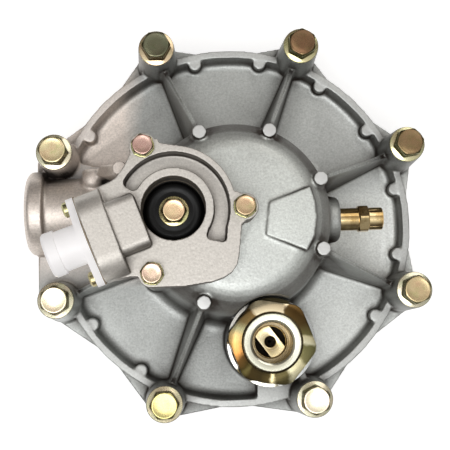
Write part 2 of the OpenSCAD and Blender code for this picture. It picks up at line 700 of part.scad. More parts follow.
module primer_cover() {
    low = cover_z - solenoid_z;
    color([0.79, 0.78, 0.76])
    difference() {
        union() {
            translate([0, 0, cover_z]) linear_extrude(primer_cover_t) cover_shape();
            intersection() {
                on_solenoid(block_a_s) linear_extrude(block_b_s - block_a_s + 1)
                    block_section(block_a_w, low, block_a_top - solenoid_z, 3);
                translate([primer_x, primer_y, cover_z]) rotate(solenoid_angle) linear_extrude(30)
                    block_plan();
            }
            on_solenoid(block_b_s) linear_extrude(block_end_s - block_b_s)
                block_section(block_b_w, low, block_b_top - solenoid_z, 8.5);
        }
        translate([primer_x, primer_y, cover_z - eps]) cylinder(h = 40, d = primer_bore_d);
        translate([primer_x, primer_y, cover_top_z - pocket_depth]) pocket();
        for (p = cover_bolt_at) translate([p[0], p[1], cover_z - eps])
            cylinder(h = primer_cover_t + 2 * eps, r = small_bolt_d / 2 + 0.2);
        on_solenoid(sol_seat_s) cylinder(h = block_end_s - sol_seat_s + eps, r = sol_bore_r);
        on_solenoid(sol_seat_s - 2.5) cylinder(h = 4, r = 1.2);
        for (s = [-1, 1]) on_solenoid(block_end_s - 7) translate([s * screw_half, 0, 0])
            cylinder(h = 7 + eps, r = 1.5);
    }
}

// the C-shaped pocket, concentric with the opening, its lower leg running straight
module pocket() {
    pocket_in = 14.4;
    pocket_out = 20;
    from = -30;
    to = 150;
    corner = 1.6;
    linear_extrude(20) {
        difference() {
            circle(pocket_out);
            circle(pocket_in);
            polygon(concat([[0, 0]], [for (a = [to : 18 : from + 360]) 2 * pocket_out * [cos(a), sin(a)]]));
        }
        near = pocket_in + 0.15;
        far = pocket_out - 0.15;
        rotate(to) polygon([[near, -1], [near, 0.3], [near + 0.5, 1.1], [near + corner, corner],
            [far - corner, corner], [far - 0.5, 1.1], [far, 0.3], [far, -1]]);
        translate([16.9, -10.8]) circle(corner);
        translate([13.1, -9.9]) circle(corner);
        polygon([[12.4, -7], [11.6, -9.3], [13, -11.5], [16.9, -12.4], [18.5, -10.8], [18.8, -6.6]]);
    }
}

module primer_cover_bolts() {
    color([0.83, 0.74, 0.5])
    for (p = cover_bolt_at) translate([p[0], p[1], cover_top_z])
        flange_bolt(small_bolt_d, primer_cover_t + 9, small_flange_d, 1, 7, 4);
}

module primer_gasket() {
    color([0.45, 0.4, 0.35])
    translate([0, 0, riser_z]) difference() {
        intersection() {
            union() {
                linear_extrude(primer_gasket_t) riser_shape();
                translate([primer_x, primer_y, 0]) cylinder(h = primer_gasket_t, r = cover_rim_r - 2);
            }
            union() {
                linear_extrude(primer_gasket_t) cover_shape();
                translate([primer_x, primer_y, 0]) cylinder(h = primer_gasket_t, r = cover_rim_r - 2);
            }
        }
        translate([primer_x, primer_y, -eps]) cylinder(h = primer_gasket_t + 2 * eps, d = primer_bore_d);
        for (p = cover_bolt_at) translate([p[0], p[1], -eps])
            cylinder(h = primer_gasket_t + 2 * eps, r = small_bolt_d / 2 + 0.3);
    }
}

// rubber cup with a lip, sliding in the riser's bore
cup_top_z = riser_z + 0.5;
cup_face_r = 10.2;
cup_h = 4;
module primer_cup() {
    lip_r = primer_bore_d / 2 - 0.3;
    color([0.08, 0.08, 0.08])
    translate([primer_x, primer_y, 0]) difference() {
        rotate_extrude() polygon([[0, cup_top_z - cup_h], [lip_r - 1, cup_top_z - cup_h],
            [lip_r, cup_top_z - cup_h - 0.6], [lip_r, cup_top_z - cup_h + 1.2],
            [cup_face_r, cup_top_z - 1.4], [cup_face_r - 0.35, cup_top_z - 0.5],
            [cup_face_r - 1.2, cup_top_z], [0, cup_top_z]]);
        translate([0, 0, cup_top_z - 10]) cylinder(h = 20, r = primer_bolt_r + 0.03);
    }
}
primer_bolt_r = 2.5;
button_bolt_l = 9.6;
button_flange_d = 11.1;
button_hex = 8;
button_head_h = 4.2;

module primer_washer() {
    color([0.75, 0.75, 0.77])
    translate([primer_x, primer_y, cup_top_z - cup_h - 1.2]) difference() {
        cylinder(h = 1.2, r = 9);
        translate([0, 0, -eps]) cylinder(h = 3, r = primer_bolt_r + 0.03);
    }
}

module primer_bolt() {
    color([0.85, 0.8, 0.55])
    translate([primer_x, primer_y, cup_top_z])
        flange_bolt(2 * primer_bolt_r, button_bolt_l, button_flange_d, 1.1, button_hex, button_head_h);
}

module primer_nut() {
    color([0.75, 0.75, 0.77])
    translate([primer_x, primer_y, cup_top_z - cup_h - 1.2 - 3]) difference() {
        cylinder(h = 3, d = 8 / cos(30), $fn = 6);
        translate([0, 0, -eps]) cylinder(h = 5, r = primer_bolt_r + fit);
    }
}

// return spring, drawn as a stack of rings joined by short links
module primer_spring() {
    wire = 0.9;
    low = primer_floor_z + wire / 2;
    high = cup_top_z - cup_h - 1.2 - wire / 2;
    turns = 5;
    pitch = (high - low) / turns;
    coil_r = 6.6;
    color([0.6, 0.6, 0.62])
    translate([primer_x, primer_y, low]) {
        for (i = [0 : turns]) translate([0, 0, i * pitch]) rotate_extrude()
            translate([coil_r, 0]) circle(d = wire, $fn = 16);
        for (i = [0 : turns - 1]) rotate(i * 137) translate([coil_r, 0, (i + 0.5) * pitch])
            cube([wire * 0.8, wire * 0.8, pitch], center = true);
    }
}

// the solenoid's oval flange seen along its axis, its straight sides just inside the rounds they join
sol_flange_r = 9.6;
sol_ear_r = 3.4;
sol_flange_turn = acos((sol_flange_r - sol_ear_r) / screw_half);
module sol_flange_shape() {
    near = (sol_flange_r - 0.03) * [cos(sol_flange_turn), sin(sol_flange_turn)];
    far = [screw_half, 0] + (sol_ear_r - 0.03) * [cos(sol_flange_turn), sin(sol_flange_turn)];
    polygon([near, [-near.x, near.y], [-far.x, far.y], -far, -near, [near.x, -near.y],
        [far.x, -far.y], far]);
    circle(r = sol_flange_r);
    for (s = [-1, 1]) translate([s * screw_half, 0]) circle(r = sol_ear_r);
}

module solenoid_gasket() {
    color([0.72, 0.62, 0.48])
    on_solenoid(block_end_s) difference() {
        linear_extrude(sol_gasket_t) sol_flange_shape();
        translate([0, 0, -eps]) cylinder(h = sol_gasket_t + 2 * eps, r = sol_bore_r);
        for (s = [-1, 1]) translate([s * screw_half, 0, -eps])
            cylinder(h = sol_gasket_t + 2 * eps, r = 1.7);
    }
}

barrel_in_r = barrel_d / 2 - 1.2;
module solenoid_housing() {
    color([0.93, 0.92, 0.92])
    on_solenoid(sol_flange_s) difference() {
        union() {
            linear_extrude(sol_flange_t) sol_flange_shape();
            cylinder(h = sol_flange_t + barrel_l, d = barrel_d);
        }
        translate([0, 0, -eps]) cylinder(h = 30, r = barrel_in_r);
        for (s = [-1, 1]) translate([s * screw_half, 0, -eps]) cylinder(h = 5, r = 1.6);
    }
}

module solenoid_cap() {
    color([0.92, 0.92, 0.93])
    on_solenoid(cap_s) difference() {
        union() {
            cylinder(h = cap_l - 0.8, d = cap_d);
            translate([0, 0, cap_l - 0.8]) cylinder(h = 0.8, d1 = cap_d, d2 = cap_d - 1.4);
        }
        translate([0, 0, -eps]) cylinder(h = 2.5, r = core_r + fit);
    }
}

module solenoid_screws() {
    color([0.8, 0.78, 0.6])
    for (s = [-1, 1]) on_solenoid(barrel_s) translate([s * screw_half, 0, 0]) difference() {
        union() {
            cylinder(h = 1.4, r = 2.75);
            translate([0, 0, 1.4]) cylinder(h = 0.6, r1 = 2.75, r2 = 2.1);
            translate([0, 0, -8.5]) cylinder(h = 9, r = 1.45);
        }
        translate([-3, -0.35, 1.2]) cube([6, 0.7, 2]);
    }
}

plunger_r = plunger_d / 2;
core_r = plunger_r;
module solenoid_bobbin() {
    color([0.9, 0.9, 0.88])
    on_solenoid(sol_flange_s) difference() {
        union() {
            cylinder(h = cap_s - sol_flange_s, r = plunger_r + 0.8);
            cylinder(h = 0.8, r = barrel_in_r - 0.1);
            translate([0, 0, cap_s - sol_flange_s - 0.8]) cylinder(h = 0.8, r = barrel_in_r - 0.1);
        }
        translate([0, 0, -eps]) cylinder(h = 30, r = plunger_r + 0.1);
    }
}

module solenoid_coil() {
    color([0.7, 0.4, 0.2])
    on_solenoid(sol_flange_s + 0.8) difference() {
        cylinder(h = cap_s - sol_flange_s - 1.6, r = barrel_in_r - 0.2);
        translate([0, 0, -eps]) cylinder(h = 30, r = plunger_r + 0.8 + fit);
    }
}

module solenoid_core() {
    core_s = plunger_tail_s + plunger_stroke + 0.3;
    color([0.65, 0.65, 0.68])
    on_solenoid(core_s) difference() {
        cylinder(h = cap_s + 2 - core_s, r = core_r);
        translate([0, 0, -eps]) cylinder(h = 3.4, r = 2.2);
    }
}

module solenoid_plunger() {
    nose_s = sol_seat_s + 1.7;
    body_s = sol_seat_s + 5;
    color([0.7, 0.7, 0.72])
    difference() {
        union() {
            on_solenoid(nose_s) cylinder(h = body_s - nose_s + 0.1, r = 2.4);
            on_solenoid(body_s) cylinder(h = plunger_tail_s - body_s, r = plunger_r);
        }
        on_solenoid(plunger_tail_s - 5) cylinder(h = 6, r = 2.2);
    }
}

module solenoid_spring() {
    wire = 0.5;
    length = 8;
    turns = 6;
    pitch = (length - wire) / turns;
    color([0.6, 0.6, 0.62])
    on_solenoid(plunger_tail_s - 5 + wire / 2) {
        for (i = [0 : turns]) translate([0, 0, i * pitch]) rotate_extrude()
            translate([1.7, 0]) circle(d = wire, $fn = 16);
        for (i = [0 : turns - 1]) rotate(i * 137) translate([1.7, 0, (i + 0.5) * pitch])
            cube([wire * 0.8, wire * 0.8, pitch], center = true);
    }
}

module solenoid_seal() {
    color([0.1, 0.1, 0.1])
    on_solenoid(sol_seat_s + 0.3) cylinder(h = 1.4, r = 2.2);
}

front_casting();
rear_cover();
vent_screen();
cover_bolts();
diaphragm_bead();
diaphragm_web();
diaphragm_plate_front();
diaphragm_plate_rear();
diaphragm_stud();
diaphragm_nut();
valve_lever();
lever_pin();
lever_spring();
pad_holder();
valve_pad();
valve_seat();
inlet_fitting();
inlet_washer();
inlet_plug();
inlet_screen();
side_nipple();
primer_cover();
primer_cover_bolts();
primer_gasket();
primer_cup();
primer_washer();
primer_bolt();
primer_nut();
primer_spring();
solenoid_gasket();
solenoid_housing();
solenoid_cap();
solenoid_screws();
solenoid_bobbin();
solenoid_coil();
solenoid_core();
solenoid_plunger();
solenoid_spring();
solenoid_seal();
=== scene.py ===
import bmesh
import bpy
import math
import numpy as np
from mathutils import Matrix, Vector
from mathutils.bvhtree import BVHTree


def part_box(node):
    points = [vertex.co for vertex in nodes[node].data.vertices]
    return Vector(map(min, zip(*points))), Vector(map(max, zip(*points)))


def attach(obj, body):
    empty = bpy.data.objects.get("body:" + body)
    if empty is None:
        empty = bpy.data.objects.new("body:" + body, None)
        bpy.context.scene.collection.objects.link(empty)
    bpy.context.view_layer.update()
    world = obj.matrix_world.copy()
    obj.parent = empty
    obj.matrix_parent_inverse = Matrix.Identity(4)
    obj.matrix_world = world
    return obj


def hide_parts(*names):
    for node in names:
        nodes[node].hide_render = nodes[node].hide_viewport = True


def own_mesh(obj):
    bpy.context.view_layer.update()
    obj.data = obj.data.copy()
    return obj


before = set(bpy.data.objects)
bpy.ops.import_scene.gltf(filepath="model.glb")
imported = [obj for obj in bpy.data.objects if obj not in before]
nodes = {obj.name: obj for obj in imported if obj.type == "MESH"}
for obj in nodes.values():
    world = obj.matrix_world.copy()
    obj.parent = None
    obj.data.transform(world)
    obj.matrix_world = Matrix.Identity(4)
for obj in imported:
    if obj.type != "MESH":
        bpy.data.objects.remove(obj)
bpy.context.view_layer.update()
mm = 0.001

# camera, standing almost straight above the regulator's front
cameraSetup = {
    "location": (-0.0193019, -0.0373875, 0.4020087),
    "rotation": (0.103173413, -0.041309623, -0.0306127506),
    "lens": 72.85,
    "sensor": 36.0,
    "shiftX": 0.0,
    "shiftY": 0.0,
    "imageWidth": 450,
    "imageHeight": 450,
}


def linkObject(name, data):
    made = bpy.data.objects.new(name, data)
    bpy.context.scene.collection.objects.link(made)
    return made


def makeCamera():
    data = bpy.data.cameras.new("camera")
    data.sensor_fit = "AUTO"
    data.sensor_width = cameraSetup["sensor"]
    data.lens = cameraSetup["lens"]
    data.shift_x = cameraSetup["shiftX"]
    data.shift_y = cameraSetup["shiftY"]
    data.clip_start = 0.01
    camera = linkObject("camera", data)
    camera.rotation_euler = cameraSetup["rotation"]
    camera.location = cameraSetup["location"]
    bpy.context.scene.camera = camera
    bpy.context.view_layer.update()


makeCamera()
print("camera set")


# materials
def newGroup(name, inputs, outputs):
    group = bpy.data.node_groups.new(name, "ShaderNodeTree")
    for label, kind, value in inputs:
        socket = group.interface.new_socket(name=label, in_out="INPUT", socket_type=kind)
        if value is not None:
            socket.default_value = value
    for label, kind in outputs:
        group.interface.new_socket(name=label, in_out="OUTPUT", socket_type=kind)
    start = group.nodes.new("NodeGroupInput")
    end = group.nodes.new("NodeGroupOutput")
    return group, start, end


def feed(tree, socket, value):
    # a number or a colour is set on the socket, and anything else is linked to it
    if isinstance(value, (int, float)):
        socket.default_value = value
    elif isinstance(value, tuple):
        socket.default_value = (*value, 1)
    else:
        tree.links.new(value, socket)


def noiseNode(tree, vector, scale, detail=2.0, roughness=0.5):
    node = tree.nodes.new("ShaderNodeTexNoise")
    node.inputs["Detail"].default_value = detail
    node.inputs["Roughness"].default_value = roughness
    feed(tree, node.inputs["Scale"], scale)
    tree.links.new(vector, node.inputs["Vector"])
    return node


def mathNode(tree, operation, a, b=None, clamp=False):
    node = tree.nodes.new("ShaderNodeMath")
    node.operation = operation
    node.use_clamp = clamp
    for socket, value in zip(node.inputs, (a, b)):
        if value is not None:
            feed(tree, socket, value)
    return node.outputs[0]


def mixColour(tree, share, a, b, blend="MIX"):
    node = tree.nodes.new("ShaderNodeMix")
    node.data_type = "RGBA"
    node.blend_type = blend
    for place, value in ((0, share), (6, a), (7, b)):
        feed(tree, node.inputs[place], value)
    return node.outputs[2]


def multiplyColour(tree, a, b):
    return mixColour(tree, 1.0, a, b, "MULTIPLY")


def setRamp(node, stops):
    # stops in rising order, the first at the ramp's start and the last at its end
    ramp = node.color_ramp.elements
    for element, (place, tone) in ((ramp[0], stops[0]), (ramp[1], stops[-1])):
        element.position = place
        element.color = (*tone, 1)
    for place, tone in stops[1:-1]:
        ramp.new(place).color = (*tone, 1)


def rangeNode(tree, value, low, high, outLow, outHigh):
    node = tree.nodes.new("ShaderNodeMapRange")
    for socket, number in zip(list(node.inputs)[1:5], (low, high, outLow, outHigh)):
        socket.default_value = number
    tree.links.new(value, node.inputs[0])
    return node.outputs[0]


def stretch(tree, noise, outLow, outHigh):
    # a noise's useful range, 0.3 to 0.7, laid over outLow to outHigh
    return rangeNode(tree, noise, 0.3, 0.7, outLow, outHigh)


def turnAround(tree, x, y):
    # the angle round an axis, as 0 to 1 from -180 to 180 degrees
    return rangeNode(tree, mathNode(tree, "ARCTAN2", y, x), -math.pi, math.pi, 0.0, 1.0)


def turnRamp(tree, turn, stops):
    # a colour for each angle, with the stops' places in degrees
    node = tree.nodes.new("ShaderNodeValToRGB")
    setRamp(node, [((degrees + 180) / 360, tone) for degrees, tone in stops])
    tree.links.new(turn, node.inputs[0])
    return node.outputs[0]


def bandMask(tree, value, start, startSoft, end, endSoft):
    # 1 between start and end, 0 outside
    return mathNode(tree, "MULTIPLY", rangeNode(tree, value, start, start + startSoft, 0.0, 1.0),
                    rangeNode(tree, value, end, end + endSoft, 1.0, 0.0))


def splitNode(tree, vector):
    node = tree.nodes.new("ShaderNodeSeparateXYZ")
    tree.links.new(vector, node.inputs[0])
    return node.outputs["X"], node.outputs["Y"], node.outputs["Z"]


def paintedMask(tree, name, output="Fac"):
    # what the mesh carries at each point
    node = tree.nodes.new("ShaderNodeAttribute")
    node.attribute_name = name
    return node.outputs[output]


def makeCastGrain():
    # blasted casting skin: broad clouds, a fine peppery grain, and the height of both
    group, start, end = newGroup(
        "castGrain",
        [("Vector", "NodeSocketVector", None), ("Cloud Scale", "NodeSocketFloat", 45.0),
         ("Grain Scale", "NodeSocketFloat", 1500.0), ("Pitting", "NodeSocketFloat", 0.4)],
        [("Cloud", "NodeSocketFloat"), ("Grain", "NodeSocketFloat"), ("Height", "NodeSocketFloat")])
    vector = start.outputs["Vector"]
    cloud = noiseNode(group, vector, start.outputs["Cloud Scale"], 5, 0.6).outputs["Fac"]
    grain = noiseNode(group, vector, start.outputs["Grain Scale"], 2, 0.7).outputs["Fac"]
    pits = group.nodes.new("ShaderNodeTexVoronoi")
    pits.feature = "F1"
    group.links.new(vector, pits.inputs["Vector"])
    group.links.new(mathNode(group, "MULTIPLY", start.outputs["Grain Scale"], 0.45),
                    pits.inputs["Scale"])
    pitDepth = rangeNode(group, pits.outputs["Distance"], 0.0, 0.45, 0.0, 1.0)
    cut = mathNode(group, "MULTIPLY", pitDepth, start.outputs["Pitting"])
    height = mathNode(group, "ADD", mathNode(group, "MULTIPLY", grain, 0.8), cut)
    group.links.new(cloud, end.inputs["Cloud"])
    group.links.new(grain, end.inputs["Grain"])
    group.links.new(height, end.inputs["Height"])
    return group


def makeTurned():
    # fine rings that a lathe tool leaves, and slow stains
    group, start, end = newGroup(
        "turnedMarks",
        [("Vector", "NodeSocketVector", None), ("Ring Scale", "NodeSocketFloat", 2600.0),
         ("Stain Scale", "NodeSocketFloat", 160.0)],
        [("Marks", "NodeSocketFloat"), ("Stain", "NodeSocketFloat")])
    x, y, z = splitNode(group, start.outputs["Vector"])
    flat = group.nodes.new("ShaderNodeCombineXYZ")
    group.links.new(x, flat.inputs["X"])
    group.links.new(y, flat.inputs["Y"])
    length = group.nodes.new("ShaderNodeVectorMath")
    length.operation = "LENGTH"
    group.links.new(flat.outputs[0], length.inputs[0])
    line = group.nodes.new("ShaderNodeCombineXYZ")
    group.links.new(mathNode(group, "ADD", length.outputs["Value"], z), line.inputs["X"])
    marks = noiseNode(group, line.outputs[0], start.outputs["Ring Scale"], 3, 0.6).outputs["Fac"]
    stain = noiseNode(group, start.outputs["Vector"], start.outputs["Stain Scale"], 4, 0.55)
    group.links.new(marks, end.inputs["Marks"])
    group.links.new(stain.outputs["Fac"], end.inputs["Stain"])
    return group


castGrain = makeCastGrain()
turnedMarks = makeTurned()


def newMaterial(name, metallic, roughness, specular=0.5):
    material = bpy.data.materials.new(name)
    material.use_nodes = True
    tree = material.node_tree
    shader = tree.nodes["Principled BSDF"]
    shader.inputs["Metallic"].default_value = metallic
    shader.inputs["Roughness"].default_value = roughness
    shader.inputs["Specular IOR Level"].default_value = specular
    return material, tree, shader


def objectCoordinates(tree, location=(0, 0, 0), rotation=(0, 0, 0)):
    coordinates = tree.nodes.new("ShaderNodeTexCoord")
    mapping = tree.nodes.new("ShaderNodeMapping")
    mapping.inputs["Location"].default_value = location
    mapping.inputs["Rotation"].default_value = rotation
    tree.links.new(coordinates.outputs["Object"], mapping.inputs["Vector"])
    return mapping.outputs[0]


def placeGroup(tree, group, vector, **values):
    node = tree.nodes.new("ShaderNodeGroup")
    node.node_tree = group
    tree.links.new(vector, node.inputs["Vector"])
    for label, value in values.items():
        node.inputs[label].default_value = value
    return node


def finishShader(tree, shader, colour, roughness, height, strength, distance=0.0001):
    tree.links.new(colour, shader.inputs["Base Color"])
    tree.links.new(roughness, shader.inputs["Roughness"])
    bump = tree.nodes.new("ShaderNodeBump")
    bump.inputs["Strength"].default_value = strength
    bump.inputs["Distance"].default_value = distance
    tree.links.new(height, bump.inputs["Height"])
    tree.links.new(bump.outputs[0], shader.inputs["Normal"])


# where the castings' skin changes, in metres, and its finish
castSkin = {
    "metallic": 0.75, "roughness": 0.46, "bump": 0.4, "bumpDepth": 0.00015,
    "cloudScale": 38.0, "grainScale": 1300.0,
    "hueAndLightLow": 0.028, "hueAndLightHigh": 0.075, "outletX": (-0.044, -0.034), "outletY": (-0.024, -0.014),
    "panTop": (0.0320, 0.0334), "driftScale": 16.0, "drift": 0.35, "outletDrift": 0.006,
    "paintedLightScale": 1.5, "polishShare": 0.85,
}


def castMaterial(name, tones, paintedLightStops=None):
    # low, high and pipe tint the skin near the pan, on top of the dome and on the outlet; high also
    # paints the dome's top lighter, and pipe makes the outlet warmer and lighter
    skin = castSkin
    roughness = skin["roughness"]
    material, tree, shader = newMaterial(name, skin["metallic"], roughness)
    vector = objectCoordinates(tree)
    x, y, z = splitNode(tree, vector)
    grain = placeGroup(tree, castGrain, vector, **{"Cloud Scale": skin["cloudScale"],
                                                   "Grain Scale": skin["grainScale"]})
    cloud = grain.outputs["Cloud"]
    tone = mathNode(tree, "ADD", mathNode(tree, "MULTIPLY", cloud, 0.4),
                    mathNode(tree, "MULTIPLY", grain.outputs["Grain"], 0.6))
    colour = mixColour(tree, rangeNode(tree, tone, 0.32, 0.68, 0.0, 1.0), tones["dark"], tones["light"])
    drift = noiseNode(tree, vector, skin["driftScale"], 2).outputs["Fac"]
    # the mix from low to high rises with height, which paints the dome's top lighter
    level = mathNode(tree, "ADD", rangeNode(tree, z, skin["hueAndLightLow"], skin["hueAndLightHigh"], -0.2, 1.0),
                     rangeNode(tree, drift, 0.35, 0.65, -skin["drift"], skin["drift"]), clamp=True)
    shift = rangeNode(tree, drift, 0.35, 0.65, -skin["outletDrift"], skin["outletDrift"])
    outlet = rangeNode(tree, mathNode(tree, "ADD", x, shift), *skin["outletX"], 1.0, 0.0)
    outlet = mathNode(tree, "MULTIPLY", outlet, rangeNode(tree, y, *skin["outletY"], 0.0, 1.0))
    hueAndLight = mixColour(tree, outlet, mixColour(tree, level, tones["low"], tones["high"]), tones["pipe"])
    # painted light and shade on the pan and rim, by angle round the axis
    if paintedLightStops:
        # a ramp's colours stop at 1, so they are scaled up after it
        ring = turnRamp(tree, turnAround(tree, x, y), [(place, (tone,) * 3) for place, tone in paintedLightStops])
        share = mathNode(tree, "MULTIPLY", rangeNode(tree, z, *skin["panTop"], 1.0, 0.0),
                         rangeNode(tree, outlet, 0.0, 1.0, 1.0, 0.0))
        factor = mixColour(tree, share, (1 / skin["paintedLightScale"],) * 3, ring)
        scaled = tree.nodes.new("ShaderNodeVectorMath")
        scaled.operation = "SCALE"
        scaled.inputs["Scale"].default_value = skin["paintedLightScale"]
        tree.links.new(factor, scaled.inputs[0])
        product = tree.nodes.new("ShaderNodeVectorMath")
        product.operation = "MULTIPLY"
        tree.links.new(hueAndLight, product.inputs[0])
        tree.links.new(scaled.outputs[0], product.inputs[1])
        hueAndLight = product.outputs[0]
    # painted shade: a mask from the mesh darkens hollows and steep walls towards a near-black tone
    patchy = stretch(tree, cloud, 1.1, 0.75)
    shadeShare = mathNode(tree, "MULTIPLY", paintedMask(tree, "paintedShade"), patchy, clamp=True)
    colour = mixColour(tree, shadeShare, multiplyColour(tree, colour, hueAndLight), tones["shadeTone"])
    cut = mathNode(tree, "MULTIPLY", paintedMask(tree, "machined"), skin["polishShare"])
    colour = mixColour(tree, cut, colour, tones["polished"])
    rough = mathNode(tree, "ADD", stretch(tree, cloud, roughness - 0.07, roughness + 0.09),
                     mathNode(tree, "MULTIPLY", shadeShare, 0.2), clamp=True)
    finishShader(tree, shader, colour, rough, grain.outputs["Height"], skin["bump"], skin["bumpDepth"])
    return material


turnedBump = 0.06


def turnedMaterial(name, light, dark, centre=(0, 0, 0), turn=(0, 0, 0), roughness=0.2, low=0.35,
                   high=0.65):
    material, tree, shader = newMaterial(name, 1.0, roughness)
    vector = objectCoordinates(tree, centre, turn)
    marks = placeGroup(tree, turnedMarks, vector)
    colour = mixColour(tree, rangeNode(tree, marks.outputs["Stain"], low, high, 0.0, 1.0), dark, light)
    rough = stretch(tree, marks.outputs["Marks"], roughness - 0.05, roughness + 0.1)
    finishShader(tree, shader, colour, rough, marks.outputs["Marks"], turnedBump)
    return material


def plasticMaterial(name, light, dark, roughness, bump=0.05, scale=900.0, specular=0.5, glow=0.0):
    material, tree, shader = newMaterial(name, 0.0, roughness, specular)
    # glow is painted light given off by the surface
    shader.inputs["Emission Color"].default_value = (*light, 1)
    shader.inputs["Emission Strength"].default_value = glow
    vector = objectCoordinates(tree)
    grain = placeGroup(tree, castGrain, vector,
                       **{"Cloud Scale": 90.0, "Grain Scale": scale, "Pitting": 0.1})
    colour = mixColour(tree, stretch(tree, grain.outputs["Cloud"], 0.0, 1.0), dark, light)
    rough = stretch(tree, grain.outputs["Grain"], roughness - 0.05, roughness + 0.08)
    finishShader(tree, shader, colour, rough, grain.outputs["Height"], bump)
    return material


def plateMaterial(name, gold, pink, green, roughness=0.22):
    # yellow chromate over zinc: gold, with reddish and greenish clouds, times each bolt's own tint with
    # its painted shade and reflection
    material, tree, shader = newMaterial(name, 1.0, roughness)
    vector = objectCoordinates(tree)
    clouds = placeGroup(tree, castGrain, vector, **{"Cloud Scale": 220.0, "Grain Scale": 2400.0})
    broad = noiseNode(tree, vector, 420.0, 3).outputs["Fac"]
    pinkShare = rangeNode(tree, clouds.outputs["Cloud"], 0.38, 0.66, 0.0, 0.75)
    greenShare = rangeNode(tree, broad, 0.52, 0.72, 0.0, 0.7)
    colour = mixColour(tree, greenShare, mixColour(tree, pinkShare, gold, pink), green)
    colour = multiplyColour(tree, colour, paintedMask(tree, "tintAndPaintedLight", "Color"))
    rough = stretch(tree, clouds.outputs["Grain"], roughness - 0.06, roughness + 0.12)
    finishShader(tree, shader, colour, rough, clouds.outputs["Height"], 0.12)
    return material


def fanMaterial(name, light, dark, centre, face):
    # turned brass whose outer face carries a fan of painted reflections, bright and dark sector by
    # sector
    material, tree, shader = newMaterial(name, 1.0, 0.18)
    shader.inputs["Anisotropic"].default_value = 0.3
    vector = objectCoordinates(tree, (-centre.x, -centre.y, 0))
    marks = placeGroup(tree, turnedMarks, vector)
    stain = marks.outputs["Stain"]
    colour = mixColour(tree, rangeNode(tree, stain, 0.35, 0.65, 0.0, 1.0), dark, light)
    x, y, z = splitNode(tree, vector)
    angle = turnAround(tree, x, y)
    radius = mathNode(tree, "SQRT", mathNode(tree, "ADD", mathNode(tree, "MULTIPLY", x, x),
                                             mathNode(tree, "MULTIPLY", y, y)))
    inner, low = face["inner"], face["ledgeTop"]
    ringStart, ringEnd = face["ring"]
    wobble = stretch(tree, stain, -0.012, 0.012)
    # painted reflection: the fan's bright and dark sectors
    fanReflection = turnRamp(tree, mathNode(tree, "ADD", angle, wobble), face["fanReflection"])
    colour = mixColour(tree, bandMask(tree, radius, inner, 0.0001, face["outer"], 0.0001), colour, fanReflection)
    # painted shade round the ledge under the hexagon, with painted crescents of reflection
    ledge = mixColour(tree, rangeNode(tree, radius, *face["ledgeRim"], 0.0, 1.0), face["rimShade"],
                      turnRamp(tree, angle, face["ledge"]))
    below = mathNode(tree, "MULTIPLY", rangeNode(tree, z, low, low + 0.0004, 1.0, 0.0),
                     rangeNode(tree, radius, inner, inner + 0.0001, 0.0, 1.0))
    colour = mixColour(tree, below, colour, ledge)
    # painted reflection: the pale ring stands in for the white light that it reflects
    paleReflection = mathNode(tree, "MULTIPLY", bandMask(tree, radius, ringStart, 0.0002, ringEnd, 0.0001), 0.85)
    colour = mixColour(tree, paleReflection, colour, face["ringReflection"])
    # painted shade in the groove inside the ring
    grooveShadeShare = bandMask(tree, radius, ringEnd, 0.0001, inner, 0.0002)
    colour = mixColour(tree, grooveShadeShare, colour, face["grooveShade"])
    # painted shade, darker deeper down the bore
    boreShadeShare = mathNode(tree, "MULTIPLY", rangeNode(tree, radius, ringStart - 0.0004, ringStart, 0.7, 0.0),
                    rangeNode(tree, z, low + 0.004, low + 0.0052, 1.0, 0.3))
    colour = mixColour(tree, boreShadeShare, colour, face["boreShade"])
    rough = stretch(tree, marks.outputs["Marks"], 0.12, 0.28)
    finishShader(tree, shader, colour, rough, marks.outputs["Marks"], turnedBump)
    tangent = tree.nodes.new("ShaderNodeTangent")
    tangent.direction_type = "RADIAL"
    tangent.axis = "Z"
    tree.links.new(tangent.outputs[0], shader.inputs["Tangent"])
    return material


# castings' tones: the near-black one is painted shade for hollows and steep walls, and high paints the
# dome's top lighter
castColours = {
    "light": (0.68, 0.67, 0.65), "dark": (0.43, 0.425, 0.41), "shadeTone": (0.052, 0.040, 0.032),
    "polished": (0.64, 0.64, 0.63), "low": (0.96, 1.0, 1.0), "high": (1.17, 1.23, 1.21),
    "pipe": (1.42, 1.30, 1.22),
}
coverColours = dict(castColours, light=(0.72, 0.70, 0.67), dark=(0.50, 0.485, 0.46),
                    low=(1.0, 0.98, 0.95), high=(1.0, 0.98, 0.95), pipe=(1.0, 0.98, 0.95))
# painted light and shade on the pan and rim: the skin's brightness by degrees round the axis
panPaintedLight = (
    (-180, 0.62), (-140, 0.56), (-95, 0.42), (-60, 0.66), (-35, 0.80), (-6, 1.0), (8, 1.0),
    (20, 0.68), (60, 0.57), (95, 0.54), (130, 0.56), (180, 0.60),
)
brassColours = {"light": (0.93, 0.84, 0.58), "dark": (0.76, 0.60, 0.31)}
